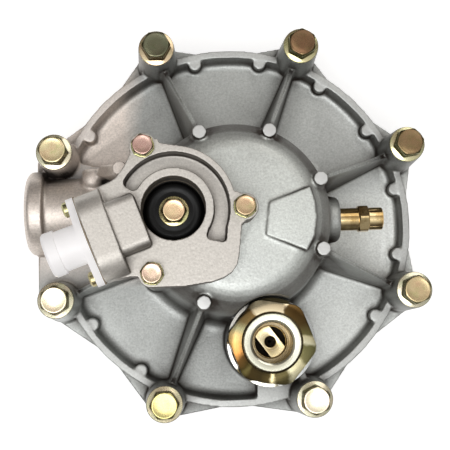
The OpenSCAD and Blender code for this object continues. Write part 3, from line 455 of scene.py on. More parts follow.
# degrees round the inlet's axis, from -180 to 180, and the turned face's colour there: painted
# reflections, bright and dark by sector
paintedFanReflection = (
    (-180, (0.44, 0.27, 0.09)), (-166, (0.34, 0.16, 0.045)), (-155, (0.045, 0.023, 0.007)),
    (-140, (0.018, 0.013, 0.004)), (-134, (0.042, 0.034, 0.012)), (-128, (0.016, 0.011, 0.004)),
    (-110, (0.014, 0.010, 0.004)), (-98, (0.030, 0.022, 0.008)), (-93, (0.52, 0.44, 0.25)),
    (-87, (0.06, 0.048, 0.020)), (-68, (0.07, 0.058, 0.024)), (-60, (0.50, 0.46, 0.30)),
    (-36, (0.55, 0.50, 0.30)), (-30, (0.20, 0.18, 0.08)), (-8, (0.16, 0.15, 0.062)),
    (-3, (0.66, 0.62, 0.42)), (6, (0.60, 0.54, 0.33)), (11, (0.15, 0.13, 0.05)),
    (28, (0.085, 0.055, 0.020)), (50, (0.10, 0.058, 0.019)), (67, (0.14, 0.085, 0.030)),
    (70, (1.0, 0.84, 0.56)), (116, (1.0, 0.86, 0.58)), (121, (0.24, 0.15, 0.055)),
    (140, (0.18, 0.125, 0.05)), (158, (0.38, 0.36, 0.20)), (170, (0.56, 0.40, 0.17)),
    (180, (0.44, 0.27, 0.09)),
)
# the same for the round ledge under the hexagon: painted shade, but for three painted crescents of
# reflection
ledgePaintedLight = (
    (-180, (0.08, 0.06, 0.03)), (-177, (0.85, 0.83, 0.78)), (-148, (0.85, 0.83, 0.78)),
    (-143, (0.05, 0.04, 0.02)), (-121, (0.05, 0.04, 0.02)), (-116, (0.85, 0.83, 0.72)),
    (-92, (0.85, 0.83, 0.72)), (-85, (0.05, 0.04, 0.02)), (-76, (0.40, 0.41, 0.40)),
    (56, (0.40, 0.41, 0.40)), (64, (0.05, 0.04, 0.02)), (118, (0.05, 0.04, 0.02)),
    (124, (0.52, 0.50, 0.46)), (158, (0.52, 0.50, 0.46)), (166, (0.05, 0.04, 0.02)),
    (180, (0.08, 0.06, 0.03)),
)
# the turned face's zones, as radii from the inlet's axis and heights, in metres
inletFace = {
    "fanReflection": paintedFanReflection, "ledge": ledgePaintedLight, "inner": 0.0115, "outer": 0.0170, "ring": (0.0078, 0.01095),
    "ledgeRim": (0.0157, 0.0159), "ledgeTop": 0.0526, "rimShade": (0.05, 0.04, 0.02),
    "ringReflection": (0.80, 0.80, 0.67), "grooveShade": (0.02, 0.014, 0.006), "boreShade": (0.16, 0.10, 0.045),
}
zincColours = {"gold": (0.94, 0.90, 0.72), "pink": (0.92, 0.74, 0.62), "green": (0.76, 0.80, 0.55)}
inletCentre = (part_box("inlet_plug")[0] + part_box("inlet_plug")[1]) / 2

materials = {
    "casting": castMaterial("castAluminium", castColours, panPaintedLight),
    "coverCasting": castMaterial("castAluminiumCover", coverColours),
    "brassInlet": fanMaterial("brassInlet", **brassColours, centre=inletCentre, face=inletFace),
    "brassParts": turnedMaterial("brassParts", **brassColours,
                                 centre=(-inletCentre.x, -inletCentre.y, 0)),
    "brassNipple": turnedMaterial("brassNipple", (0.84, 0.66, 0.36), (0.50, 0.34, 0.14),
                                  turn=(0, math.pi / 2, 0), roughness=0.13, low=0.42, high=0.62),
    "yellowZinc": plateMaterial("yellowZinc", **zincColours),
    "zincPlain": turnedMaterial("plainZinc", (0.72, 0.72, 0.73), (0.52, 0.53, 0.55), roughness=0.28),
    "springSteel": turnedMaterial("springSteel", (0.55, 0.55, 0.56), (0.36, 0.36, 0.37), roughness=0.25),
    "rubber": plasticMaterial("blackRubber", (0.008, 0.008, 0.008), (0.004, 0.004, 0.004), 0.38,
                              specular=0.25),
    # the nylon's glow is painted light, lifting its shaded sides
    "nylon": plasticMaterial("whiteNylon", (0.97, 0.955, 0.96), (0.93, 0.915, 0.92), 0.4, glow=0.12),
    "gasket": plasticMaterial("gasketFibre", (0.40, 0.33, 0.24), (0.28, 0.23, 0.17), 0.75, 0.3, 2200.0),
    "softWasher": turnedMaterial("softWasher", (0.80, 0.79, 0.77), (0.60, 0.59, 0.57), roughness=0.35),
    "copper": turnedMaterial("copperWinding", (0.70, 0.33, 0.19), (0.48, 0.20, 0.11), roughness=0.3),
    "bronzeScreen": plasticMaterial("bronzeScreen", (0.30, 0.23, 0.13), (0.16, 0.12, 0.06), 0.7, 0.5,
                                    1800.0),
    # painted shade: the screen down the inlet is near-black to stand for the shade deep in the bore
    "paintedShadeScreen": plasticMaterial("paintedShadeScreen", (0.020, 0.016, 0.012), (0.008, 0.006, 0.005), 0.8, 0.5,
                                  1800.0, specular=0.1),
}
print("materials made")


# mesh helpers
def placeLoop(verts, radius, height):
    # lays a loop out at its level; radius and height may be functions of the angle
    for vert in verts:
        angle = math.atan2(vert.co.y, vert.co.x)
        r = radius(angle) if callable(radius) else radius
        z = height(angle, r) if callable(height) else height
        vert.co = (r * math.cos(angle), r * math.sin(angle), z)


def nextLoop(bm, edges):
    # a new loop pulled out of the last one
    made = bmesh.ops.extrude_edge_only(bm, edges=edges)["geom"]
    verts = [item for item in made if isinstance(item, bmesh.types.BMVert)]
    own = set(verts)
    edges = [item for item in made
             if isinstance(item, bmesh.types.BMEdge) and own.issuperset(item.verts)]
    return verts, edges


def stackLoops(levels, steps):
    bm = bmesh.new()
    verts = bmesh.ops.create_circle(bm, segments=steps, radius=1.0, cap_ends=False)["verts"]
    edges = bm.edges[:]
    placeLoop(verts, *levels[0])
    for level in levels[1:]:
        verts, edges = nextLoop(bm, edges)
        placeLoop(verts, *level)
    return bm


def closedInMetres(bm):
    # faces outwards, then from mm to metres
    bmesh.ops.recalc_face_normals(bm, faces=bm.faces[:])
    if bm.calc_volume(signed=True) < 0:
        bmesh.ops.reverse_faces(bm, faces=bm.faces[:])
    bmesh.ops.scale(bm, vec=(mm, mm, mm), verts=bm.verts)
    bm.normal_update()
    return bm


def turnedBody(levels):
    # a solid of rotation, whose loops may also follow a hexagon; sizes in mm
    bm = stackLoops(levels, 72)
    bmesh.ops.holes_fill(bm, edges=bm.edges[:], sides=0)
    return closedInMetres(bm)


def boredBody(levels, steps=96):
    # the same, but its last loop meets its first one, so it is open right through
    bm = stackLoops(levels + levels[:1], steps)
    bmesh.ops.remove_doubles(bm, verts=bm.verts[:], dist=0.0001)
    return closedInMetres(bm)


def hexRadius(acrossFlats, cornerShare):
    # distance to a hexagon's edge, its corners trimmed to cornerShare of the full corner
    corner = acrossFlats / 2 / math.cos(math.pi / 6)

    def radius(angle):
        turn = (angle + math.pi / 6) % (math.pi / 3) - math.pi / 6
        return min(acrossFlats / 2 / math.cos(turn), corner * cornerShare)
    return radius


def chamferHeight(top, flatRadius, slope):
    return lambda angle, r: top - max(0.0, r - flatRadius) * slope


def tintVertices(mesh, tone):
    # the plating's colour, on the bolts with painted shade and reflection, one for the whole mesh or one
    # for each vertex
    colours = np.ones((len(mesh.vertices), 4))
    colours[:, :3] = tone
    layer = mesh.color_attributes.new("tintAndPaintedLight", "FLOAT_COLOR", "POINT")
    layer.data.foreach_set("color", colours.ravel())


def meshArrays(mesh):
    points = np.empty(len(mesh.vertices) * 3)
    mesh.vertices.foreach_get("co", points)
    normals = np.empty(len(mesh.vertices) * 3, np.float32)
    mesh.vertex_normals.foreach_get("vector", normals)
    edges = np.empty(len(mesh.edges) * 2, np.int64)
    mesh.edges.foreach_get("vertices", edges)
    return points.reshape(-1, 3), normals.reshape(-1, 3).astype(float), edges.reshape(-1, 2)


def mergedCad(node):
    # a copy of a CAD node's mesh, its loose triangles joined
    bm = bmesh.new()
    bm.from_mesh(nodes[node].data)
    bmesh.ops.remove_doubles(bm, verts=bm.verts, dist=1e-6)
    return bm


def addPiece(name, bm, body, material, replaced, sharpAngle=32.0, tintAndPaintedLight=None):
    mesh = bpy.data.meshes.new(name)
    bm.to_mesh(mesh)
    bm.free()
    mesh.shade_smooth()
    mesh.set_sharp_from_angle(angle=math.radians(sharpAngle))
    mesh.materials.append(material)
    if tintAndPaintedLight is not None:
        tintVertices(mesh, tintAndPaintedLight(mesh))
    piece = linkObject(name, mesh)
    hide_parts(*replaced)
    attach(piece, body)
    return piece


def moveMesh(bm, matrix):
    bmesh.ops.transform(bm, matrix=matrix, verts=bm.verts)


def spunPlace(x, y, z, degrees):
    # a turn round Z, then a move, in mm
    return Matrix.Translation((x * mm, y * mm, z * mm)) @ Matrix.Rotation(math.radians(degrees), 4, "Z")


# castings
def fillHollows(mesh, rounds, keepSharp):
    # rounds inner corners as a casting's fillets: points in a hollow move out to fill it, by fillStep
    # of the way, and the others move by keepSharp of it
    for _ in range(rounds):
        mesh.update()
        points, normals, edges = meshArrays(mesh)
        count = len(points)
        total = np.zeros((count, 3))
        uses = np.bincount(edges.ravel(), minlength=count)
        for axis in range(3):
            total[:, axis] = (np.bincount(edges[:, 0], points[edges[:, 1], axis], minlength=count)
                              + np.bincount(edges[:, 1], points[edges[:, 0], axis], minlength=count))
        pull = total / np.maximum(uses, 1)[:, None] - points
        outwards = (pull * normals).sum(1)
        step = np.where(outwards > 0, shading["fillStep"], keepSharp)
        mesh.vertices.foreach_set("co", (points + pull * step[:, None]).ravel())
    mesh.update()


def cavityShade(mesh, reach, rays):
    # how much of the sky above each point is hidden by the part itself
    points, normals, _ = meshArrays(mesh)
    tree = BVHTree.FromPolygons([v.co for v in mesh.vertices], [p.vertices for p in mesh.polygons])
    turns = [(i * shading["goldenTurn"], math.sqrt((i + 0.5) / rays)) for i in range(rays)]
    shade = np.zeros(len(points), np.float32)
    for index, (point, normal) in enumerate(zip(points, normals)):
        if point[2] < shading["lowest"] or normal[2] < shading["under"]:
            continue
        up = Vector(normal)
        side = up.orthogonal().normalized()
        other = up.cross(side)
        start = Vector(point) + up * shading["lift"]
        hits = 0
        for turn, spread in turns:
            way = (side * (math.cos(turn) * spread) + other * (math.sin(turn) * spread)
                   + up * math.sqrt(1 - spread * spread))
            distance = tree.ray_cast(start, way, reach)[3]
            if distance is not None:
                hits += 1 - distance / reach
        shade[index] = hits / rays
    return shade


def fadeIn(values, start, width):
    return np.clip((values - start) / width, 0, 1)


def levelMask(points, normals, height):
    # the flat faces at one height
    near = np.abs(points[:, 2] - height) < shading["levelBand"]
    return near & (normals[:, 2] > shading["levelUp"])


def paintPoints(mesh, name, values):
    layer = mesh.attributes.new(name, "FLOAT", "POINT")
    layer.data.foreach_set("value", values.astype(np.float32))


def paintShade(mesh, spec):
    # painted shade in the hollows and on steep walls, more of both on the dome's shoulder
    shade = cavityShade(mesh, spec["reach"], spec["rays"])
    points, normals, _ = meshArrays(mesh)
    lean = 1 - normals[:, 2]
    pipe = fadeIn(-points[:, 0], *shading["pipeEdge"])
    dome = 1 - fadeIn(np.hypot(points[:, 0], points[:, 1]), *shading["domeEdge"])
    dome = dome * fadeIn(points[:, 2], *shading["domeFoot"])
    walls = fadeIn(lean, *shading["wallLean"]) * (normals[:, 2] > shading["under"])
    walls = walls * spec["wallShade"]
    steep = (fadeIn(lean, *shading["domeLean"]) * spec["shoulderShade"] * dome
             + walls * (1 - shading["pipeShadeCut"] * pipe) * (1 - dome))
    paintedShade = shade * spec["hollowShade"] - shading["shadeOffset"] + steep
    for height, amount in spec["darkenedLevels"]:
        paintedShade[levelMask(points, normals, height)] += amount
    paintPoints(mesh, "paintedShade", np.clip(paintedShade, 0, 1))


def applyModifiers(piece):
    graph = bpy.context.evaluated_depsgraph_get()
    piece.data = bpy.data.meshes.new_from_object(piece.evaluated_get(graph))
    piece.modifiers.clear()


def softCasting(name, spec):
    # the CAD solid with a casting's soft corners, as one closed mesh
    bm = mergedCad(spec["node"])
    source = bpy.data.meshes.new(name)
    bm.to_mesh(source)
    bm.free()
    piece = linkObject(name, source)
    remesh = piece.modifiers.new("remesh", "REMESH")
    remesh.mode = "VOXEL"
    remesh.voxel_size = spec["voxel"]
    remesh.adaptivity = 0.0
    applyModifiers(piece)
    fillHollows(piece.data, spec["rounds"], spec["keepSharp"])
    share = spec["triangles"] / max(1, len(piece.data.polygons) * 2)
    if share < 1:
        piece.modifiers.new("decimate", "DECIMATE").ratio = share
        applyModifiers(piece)
    mesh = piece.data
    mesh.name = name
    mesh.materials.clear()
    mesh.materials.append(materials[spec["material"]])
    mesh.shade_smooth()
    if spec["rays"]:
        paintShade(mesh, spec)
    if spec["machined"]:
        points, normals, _ = meshArrays(mesh)
        polish = np.zeros(len(points))
        for height, amount in spec["machined"]:
            polish[levelMask(points, normals, height)] = amount
        paintPoints(mesh, "machined", polish)
    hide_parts(spec["node"])
    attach(piece, "housing")
    print(name, len(mesh.polygons), "faces")
    return piece


# lengths in metres; each pair is where a mask starts and how wide it fades
# most of these place the castings' painted shade in hollows and on steep walls
shading = {
    "fillStep": 0.75, "levelBand": 0.0003, "levelUp": 0.96, "goldenTurn": 2.399963, "lowest": 0.02,
    "under": -0.3, "lift": 0.0004, "shadeOffset": 0.16, "wallLean": (0.04, 0.4), "domeLean": (0.02, 0.28),
    "domeEdge": (0.037, 0.002), "domeFoot": (0.056, 0.008), "pipeEdge": (0.040, 0.006),
    "pipeShadeCut": 0.75,
}
# each pair gives a flat face's height and how much it changes: the machined ones lighten it, and the
# next ones darken it
castings = {
    "frontCasting": {"node": "front_casting", "material": "casting", "voxel": 0.0005, "rounds": 6,
                     "keepSharp": 0.06, "triangles": 195000, "rays": 16, "reach": 0.008,
                     "hollowShade": 2.6, "wallShade": 0.66, "shoulderShade": 0.95,
                     "machined": ((0.034, 0.35), (0.0705, 1.0)), "darkenedLevels": ((0.034, 0.28), (0.05, 0.4))},
    "primerCoverCasting": {"node": "primer_cover", "material": "coverCasting", "voxel": 0.0003,
                           "rounds": 6, "keepSharp": 0.14, "triangles": 130000, "rays": 10,
                           "reach": 0.006, "hollowShade": 1.3, "wallShade": 0.95, "shoulderShade": 0.95,
                           "machined": (), "darkenedLevels": ()},
    "rearCasting": {"node": "rear_cover", "material": "casting", "voxel": 0.0008, "rounds": 5,
                    "keepSharp": 0.15, "triangles": 80000, "rays": 0, "machined": (), "darkenedLevels": ()},
}
softPieces = {name: softCasting(name, spec) for name, spec in castings.items()}
print("castings made")


# bolts
def flangeBolt(spec):
    # the flange is nearly flat, and the head's top has a low chamfer and a shallow dish
    acrossFlats, headH, flangeT = spec["hex"], spec["head"], spec["flangeT"]
    thread, rim = spec["thread"] / 2, spec["flange"] / 2
    flat = acrossFlats * 0.465
    sides = hexRadius(acrossFlats, 0.975)
    inner = hexRadius(acrossFlats - 0.2, 0.975)
    rise = 0.2

    def coneHeight(angle, r):
        return flangeT + max(0.0, rim - 0.35 - r) * rise

    return turnedBody([
        (thread - 0.8, -spec["grip"]), (thread - 0.05, -spec["grip"] + 0.8), (thread - 0.05, -0.05),
        (thread + 0.3, 0.0), (rim - 0.25, 0.0), (rim - 0.07, 0.07), (rim, 0.25),
        (rim, flangeT * 0.6), (rim - 0.1, flangeT * 0.9), (rim - 0.35, flangeT),
        (hexRadius(acrossFlats + 0.7, 0.97), coneHeight),
        (hexRadius(acrossFlats + 0.15, 0.975), lambda angle, r: coneHeight(angle, r) + 0.1),
        (sides, lambda angle, r: coneHeight(angle, r) + 0.35),
        (sides, chamferHeight(headH - 0.13, flat, 0.45)),
        (inner, chamferHeight(headH - 0.02, flat, 0.45)),
        (flat + 0.08, headH - 0.03), (flat - 0.04, headH), (flat - 0.3, headH),
        (flat - 0.55, headH - 0.07), (flat * 0.45, headH - 0.1),
    ])


def boltTintsAndShade(mesh, spec, x, y, flange, top):
    # the flange's tint with painted shade on its rim and on the hexagon's sides, and the top's colour,
    # partly painted reflection; sizes in mm
    points = meshArrays(mesh)[0] / mm
    radius = np.hypot(points[:, 0] - x, points[:, 1] - y)[:, None]
    height = points[:, 2:] - spec["seat"]
    tone = np.where(radius > spec["flange"] / 2 - 0.15, np.array(flange) * 0.35, flange)
    tone = np.where((height > spec["flangeT"] + 0.42) & (radius < spec["hex"] * 0.6),
                    np.array(flange) * (0.26, 0.27, 0.20), tone)
    return np.where(height > spec["head"] - 0.2, top, tone)


def addBolt(name, spec, x, y, degrees, flange, top, node, body="housing"):
    bolt = flangeBolt(spec)
    moveMesh(bolt, spunPlace(x, y, spec["seat"], degrees))
    addPiece(name, bolt, body, materials["yellowZinc"], (node,),
             tintAndPaintedLight=lambda mesh: boltTintsAndShade(mesh, spec, x, y, flange, top))


# lengths in mm, turns in degrees
coverBolts = {
    "circle": 75.0, "seat": 50.0, "thread": 6.0, "grip": 37.0, "flange": 14.0, "flangeT": 1.1,
    "hex": 10.0, "head": 6.4,
    "turns": (9, 30, 0, -5, 30, 2, 25, 22),
    # each bolt's top and flange: the plating's colour with painted reflection, some bolts light and some
    # dark
    "tops": ((0.31, 0.23, 0.15), (0.24, 0.16, 0.108), (0.20, 0.22, 0.175), (0.85, 0.78, 0.58),
             (0.93, 0.91, 0.80), (0.60, 0.57, 0.30), (1.0, 0.99, 0.92), (0.66, 0.56, 0.40)),
    "flanges": ((0.80, 0.82, 0.62), (0.66, 0.66, 0.46), (0.80, 0.70, 0.56), (0.92, 0.93, 0.84),
                (0.97, 0.98, 0.90), (0.95, 0.95, 0.80), (0.96, 0.98, 0.90), (0.90, 0.94, 0.86)),
}


def circlePlace(degrees):
    # x and y on the cover bolts' circle, in mm
    angle = math.radians(degrees)
    return coverBolts["circle"] * math.cos(angle), coverBolts["circle"] * math.sin(angle)


for index in range(8):
    x, y = circlePlace(22.5 + 45 * index)
    addBolt("coverBolt%d" % (index + 1), coverBolts, x, y, coverBolts["turns"][index] + 30,
            coverBolts["flanges"][index], coverBolts["tops"][index], "cover_bolts")

smallBolts = {
    "at": ((-33.4, 23.9), (2.1, 1.6), (-31.1, -21.2)), "seat": 84.0, "thread": 4.0, "grip": 19.0,
    "flange": 8.2, "flangeT": 0.8, "hex": 7.0, "head": 4.0, "turns": (12, 4, 20),
    "tops": ((0.66, 0.48, 0.50), (0.72, 0.58, 0.44), (0.80, 0.66, 0.62)),
    "flangeTint": (0.80, 0.82, 0.52),
}
for index, (x, y) in enumerate(smallBolts["at"]):
    addBolt("primerCoverBolt%d" % (index + 1), smallBolts, x, y, smallBolts["turns"][index],
            smallBolts["flangeTint"], smallBolts["tops"][index], "primer_cover_bolts")

button = {
    "x": -23.1, "y": 1.7, "seat": 73.5, "thread": 5.0, "grip": 9.6, "flange": 11.1, "flangeT": 0.8,
    "hex": 8.0, "head": 4.2, "turn": 30, "flangeTint": (0.92, 0.90, 0.58), "top": (0.92, 0.76, 0.58),
}
addBolt("primerButtonBolt", button, button["x"], button["y"], button["turn"], button["flangeTint"],
        button["top"], "primer_bolt", "primer")

cup = {"face": 10.2, "lip": 11.05, "height": 4.0}
cupBody = boredBody([
    (2.53, -cup["height"]), (cup["lip"] - 1.0, -cup["height"]), (cup["lip"] - 0.2, -cup["height"] + 0.3),
    (cup["lip"], -cup["height"] + 0.7), (cup["lip"], -cup["height"] + 1.2),
    (cup["face"] + 0.05, -1.45), (cup["face"], -0.9), (cup["face"] - 0.3, -0.35),
    (cup["face"] - 0.8, -0.08), (cup["face"] - 1.4, 0.0), (cup["face"] - 2.2, -0.04),
    (cup["face"] - 2.7, -0.25), (7.0, -0.3), (6.3, -0.08), (2.53, 0.0)])
moveMesh(cupBody, spunPlace(button["x"], button["y"], button["seat"], 0))
addPiece("primerCup", cupBody, "primer", materials["rubber"], ("primer_cup",))
print("bolts made")

# brass inlet
inletLow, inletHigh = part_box("inlet_fitting")
inlet = {
    "x": 12.604, "y": -47.04, "low": inletLow.z / mm, "top": inletHigh.z / mm, "shank": 11.0,
    "hexZ": 50.0, "hexBelow": 1.0, "hex": 30.5, "turn": -40.0, "flange": 17.0, "corner": 16.95,
    "ledge": 2.2, "ring": 11.0, "bore": 7.5, "through": 5.06, "turnPitch": 1.2, "turnDepth": 0.55,
    "plug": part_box("inlet_plug")[1].z / mm,
}


def inletLevels():
    # up the outside, over the ring and down the threaded bore
    share = inlet["corner"] / (inlet["hex"] / 2 / math.cos(math.pi / 6))
    sides = hexRadius(inlet["hex"], share - 0.008)
    smaller = hexRadius(inlet["hex"] - 0.3, share - 0.012)
    start, low, end, floor = inlet["low"], inlet["hexZ"], inlet["top"], inlet["plug"]
    top, ledge = end - inlet["hexBelow"], low + inlet["ledge"]
    shank, flange, ring, bore = inlet["shank"], inlet["flange"], inlet["ring"], inlet["bore"]
    levels = [
        (inlet["through"], start), (shank - 0.6, start), (shank, start + 0.6),
        (shank, low - 0.02), (flange - 0.4, low), (flange - 0.1, low + 0.1), (flange, low + 0.4),
        (flange, ledge - 0.3), (flange - 0.1, ledge - 0.05),
        (hexRadius(inlet["hex"] + 0.5, share - 0.014), ledge),
        (sides, ledge + 0.2), (sides, chamferHeight(top - 0.3, 14.8, 0.45)),
        (smaller, chamferHeight(top - 0.12, 14.7, 0.35)),
        (14.4, top - 0.06), (ring + 0.7, top), (ring + 0.6, top - 0.1), (ring + 0.55, top - 1.0),
        (ring, top - 1.05), (ring, end - 0.35), (ring - 0.1, end - 0.12), (ring - 0.32, end),
        (bore + 1.2, end), (bore + 1.0, end - 0.06), (bore + 0.1, end - 0.7),
    ]
    height = end - 0.9
    while height > floor + 2.0:
        levels += [(bore, height), (bore, height - 0.25), (bore + inlet["turnDepth"], height - 0.6),
                   (bore, height - 0.95)]
        height -= inlet["turnPitch"]
    levels += [(bore, floor + 0.42), (6.5, floor + 0.4), (6.46, floor - 4.75),
               (inlet["through"], floor - 4.8)]
    return levels


inletBody = boredBody(inletLevels())
moveMesh(inletBody, spunPlace(inlet["x"], inlet["y"], 0, inlet["turn"]))
addPiece("inletFitting", inletBody, "housing", materials["brassInlet"], ("inlet_fitting",),
         28.0)

# the plug down the inlet is a ring with a drilled bar across it
plug = {"ring": 6.38, "open": 5.95, "bar": 6.9, "hole": 2.2, "thick": 4.2, "turn": -54.0}
plugPlace = spunPlace(inlet["x"], inlet["y"], inlet["plug"], plug["turn"])


def barRadius(angle):
    across = abs(math.sin(angle))
    return min(plug["open"] + 0.1, plug["bar"] / 2 / max(across, 0.01))


def addPlugPart(name, levels):
    part = boredBody(levels)
    moveMesh(part, plugPlace)
    addPiece(name, part, "housing", materials["brassParts"], ("inlet_plug",), 40.0)


addPlugPart("inletPlugRing", [
    (plug["open"], -plug["thick"]), (plug["ring"], -plug["thick"]), (plug["ring"], -0.25),
    (plug["ring"] - 0.2, -0.02), (plug["open"] + 0.1, 0.0), (plug["open"], -0.12)])
addPlugPart("inletPlugBar", [
    (plug["hole"], -plug["thick"]), (barRadius, -plug["thick"]), (barRadius, -0.2),
    (lambda angle: barRadius(angle) - 0.12, -0.06), (plug["hole"] + 0.2, -0.06), (plug["hole"], -0.2)])

# side nipple, from its seat on the dome outwards
nipple = {"x": 41.3, "z": 46.0, "r": 4.45, "length": 17.4, "bore": 2.5, "hexX": 7.7, "hexL": 4.1,
          "hex": 10.0}


def nippleLevels():
    r, bore, tip = nipple["r"], nipple["bore"], nipple["length"]
    start, end = nipple["hexX"], nipple["hexX"] + nipple["hexL"]
    sides = hexRadius(nipple["hex"], 0.985)

    def chamfer(r):
        return 0.05 + max(0.0, r - 4.95) * 0.6

    return [
        (bore, -7.0), (4.0, -7.0), (4.0, 0.0), (r - 0.25, 0.0), (r, 0.25), (r, start - 0.02),
        (4.9, start), (sides, lambda angle, r: start + chamfer(r)),
        (sides, lambda angle, r: end - chamfer(r)), (4.9, end), (r, end + 0.02), (r, tip - 0.3),
        (r - 0.3, tip), (bore + 0.4, tip), (bore, tip - 0.4),
    ]


nippleBody = boredBody(nippleLevels(), 72)
moveMesh(nippleBody, Matrix.Translation((nipple["x"] * mm, 0, nipple["z"] * mm))
         @ Matrix.Rotation(math.pi / 2, 4, "Y") @ Matrix.Rotation(math.radians(30), 4, "Z"))
addPiece("sideNipple", nippleBody, "housing", materials["brassNipple"], ("side_nipple",), 28.0)
print("brass made")


# springs and diaphragm
def coilSpring(radius, wire, low, high, turns):
    # a closed-end compression spring along +Z, swept from one circle; sizes in mm
    bm = bmesh.new()
    count = int(turns * 32)
    verts = bmesh.ops.create_circle(bm, segments=10, radius=wire / 2, cap_ends=False)["verts"]
    edges = bm.edges[:]
    last = Matrix.Identity(4)
    for i in range(count + 1):
        share = i / count
        ends = min(1.0, max(0.0, (share * turns - 0.75) / max(0.01, turns - 1.5)))
        height = low + wire / 2 + ends * (high - low - wire)
        place = (Matrix.Rotation(share * turns * 2 * math.pi, 4, "Z")
                 @ Matrix.Translation((radius, 0, height)) @ Matrix.Rotation(math.pi / 2, 4, "X"))
        if i:
            verts, edges = nextLoop(bm, edges)
        bmesh.ops.transform(bm, matrix=place @ last.inverted(), verts=verts)
        last = place
    bmesh.ops.holes_fill(bm, edges=bm.edges[:], sides=0)
    return closedInMetres(bm)


# the top stays clear of the washer, and a pressed spring keeps pressedShare of its height
primerSpring = {"radius": 6.6, "wire": 0.9, "turns": 6.5, "clear": 0.12, "pressedShare": 0.709}
springLow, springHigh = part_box("primer_spring")
coil = coilSpring(primerSpring["radius"], primerSpring["wire"], springLow.z / mm,
                  springHigh.z / mm - primerSpring["clear"], primerSpring["turns"])
moveMesh(coil, spunPlace(button["x"], button["y"], 0, 0))
coilPiece = addPiece("primerSpring", coil, "housing", materials["springSteel"],
                     ("primer_spring",), 60.0)
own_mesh(coilPiece)

diaphragmWeb = addPiece("diaphragmWeb", mergedCad("diaphragm_web"), "housing",
                        materials["rubber"], ("diaphragm_web",), 40.0)
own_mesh(diaphragmWeb)
print("springs and diaphragm made")

# CAD nodes that stay
keptNodes = {
    "vent_screen": "bronzeScreen", "inlet_screen": "paintedShadeScreen", "diaphragm_bead": "rubber",
    "diaphragm_plate_front": "zincPlain", "diaphragm_plate_rear": "zincPlain",
    "diaphragm_stud": "brassParts", "diaphragm_nut": "zincPlain", "valve_lever": "zincPlain",
    "lever_pin": "springSteel", "lever_spring": "springSteel", "pad_holder": "brassParts",
    "valve_pad": "rubber", "valve_seat": "brassParts", "inlet_washer": "softWasher",
    "primer_gasket": "gasket", "primer_washer": "zincPlain", "primer_nut": "zincPlain",
    "solenoid_gasket": "gasket", "solenoid_housing": "nylon",
    "solenoid_cap": "nylon", "solenoid_screws": "yellowZinc", "solenoid_bobbin": "nylon",
    "solenoid_coil": "copper", "solenoid_core": "springSteel", "solenoid_plunger": "zincPlain",
    "solenoid_spring": "springSteel", "solenoid_seal": "rubber",
}
screwTint = (0.50, 0.50, 0.34)
for node, key in keptNodes.items():
    mesh = nodes[node].data
    mesh.materials.clear()
    mesh.materials.append(materials[key])
    if key == "yellowZinc":
        tintVertices(mesh, screwTint)


# floor and light
studio = {
    "floorTone": 0.75, "floorGlow": 0.55, "floorDrop": 0.0003,
    "sky": ((0.05, (0.05, 0.043, 0.038)), (0.45, (0.16, 0.15, 0.14)), (0.72, (0.50, 0.50, 0.49)),
            (0.9, (0.95, 0.95, 0.95)), (1.0, (1.0, 1.0, 1.0))),
    "dimSide": (0.52, 0.48, 0.45), "sideLean": 0.12, "sideWidth": 0.34,
}


def seenBy(tree, *rays):
    # 1 for these kinds of ray, 0 for the others
    path = tree.nodes.new("ShaderNodeLightPath")
    seen = path.outputs[rays[0]]
    for ray in rays[1:]:
        seen = mathNode(tree, "MAXIMUM", seen, path.outputs[ray])
    return seen


def chooseShader(tree, share, usual, seen, endKind):
    choice = tree.nodes.new("ShaderNodeMixShader")
    for value, socket in zip((share, usual, seen), choice.inputs):
        tree.links.new(value, socket)
    end = tree.nodes.new(endKind)
    tree.links.new(choice.outputs[0], end.inputs["Surface"])


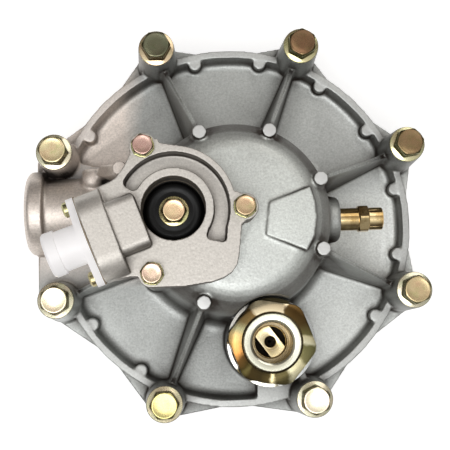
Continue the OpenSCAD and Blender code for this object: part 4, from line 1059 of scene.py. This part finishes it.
def makeFloor():
    bm = bmesh.new()
    bmesh.ops.create_grid(bm, x_segments=1, y_segments=1, size=3.0)
    mesh = bpy.data.meshes.new("floor")
    bm.to_mesh(mesh)
    bm.free()
    floor = linkObject("floor", mesh)
    floor.location = (0, 0, -studio["floorDrop"])
    material = bpy.data.materials.new("paleFloor")
    material.use_nodes = True
    tree = material.node_tree
    tree.nodes.clear()
    diffuse = tree.nodes.new("ShaderNodeBsdfDiffuse")
    diffuse.inputs["Color"].default_value = (*(studio["floorTone"],) * 3, 1)
    glow = tree.nodes.new("ShaderNodeEmission")
    glow.inputs["Strength"].default_value = studio["floorGlow"]
    both = tree.nodes.new("ShaderNodeAddShader")
    tree.links.new(diffuse.outputs[0], both.inputs[0])
    tree.links.new(glow.outputs[0], both.inputs[1])
    seen = seenBy(tree, "Is Camera Ray", "Is Glossy Ray", "Is Transmission Ray")
    chooseShader(tree, seen, diffuse.outputs[0], both.outputs[0], "ShaderNodeOutputMaterial")
    mesh.materials.append(material)


def makeWorld():
    # soft studio sky: bright overhead and towards -y, dim low down and towards +y, white for the camera
    world = bpy.data.worlds.new("studio")
    bpy.context.scene.world = world
    world.use_nodes = True
    tree = world.node_tree
    tree.nodes.clear()
    coordinates = tree.nodes.new("ShaderNodeTexCoord")
    x, y, z = splitNode(tree, coordinates.outputs["Generated"])
    ramp = tree.nodes.new("ShaderNodeValToRGB")
    setRamp(ramp, studio["sky"])
    tree.links.new(z, ramp.inputs[0])
    side = mathNode(tree, "ADD", mathNode(tree, "MULTIPLY", x, studio["sideLean"]), y)
    share = rangeNode(tree, side, 0.0, studio["sideWidth"], 0.0, 1.0)
    dim = mixColour(tree, share, (1.0, 1.0, 1.0), studio["dimSide"])
    sky = tree.nodes.new("ShaderNodeBackground")
    sky.inputs["Strength"].default_value = 1.0
    tree.links.new(multiplyColour(tree, ramp.outputs[0], dim), sky.inputs["Color"])
    white = tree.nodes.new("ShaderNodeBackground")
    white.inputs["Color"].default_value = (1, 1, 1, 1)
    seen = seenBy(tree, "Is Camera Ray", "Is Transmission Ray")
    chooseShader(tree, seen, sky.outputs[0], white.outputs[0], "ShaderNodeOutputWorld")


lampTarget = Vector((0, 0, 0.03))


def areaLight(name, place, width, height, energy, colour=(1, 1, 1)):
    data = bpy.data.lights.new(name, "AREA")
    data.shape = "RECTANGLE"
    data.size, data.size_y = width, height
    data.energy = energy
    data.color = colour
    lamp = linkObject(name, data)
    lamp.location = place
    lamp.rotation_euler = (lampTarget - Vector(place)).to_track_quat("-Z", "Y").to_euler()


makeFloor()
makeWorld()
areaLight("keyBox", (-0.15, -0.30, 0.9), 0.6, 0.5, 3.0)
areaLight("fillBox", (0.35, 0.55, 0.7), 0.5, 0.5, 1.2, (1.0, 0.98, 0.96))
bpy.context.scene.view_settings.view_transform = "Standard"
print("stage made")


# the cover bolts' places on their circle, worked out and not used
for index in range(8):
    x, y = circlePlace(112.5 - 45 * index)
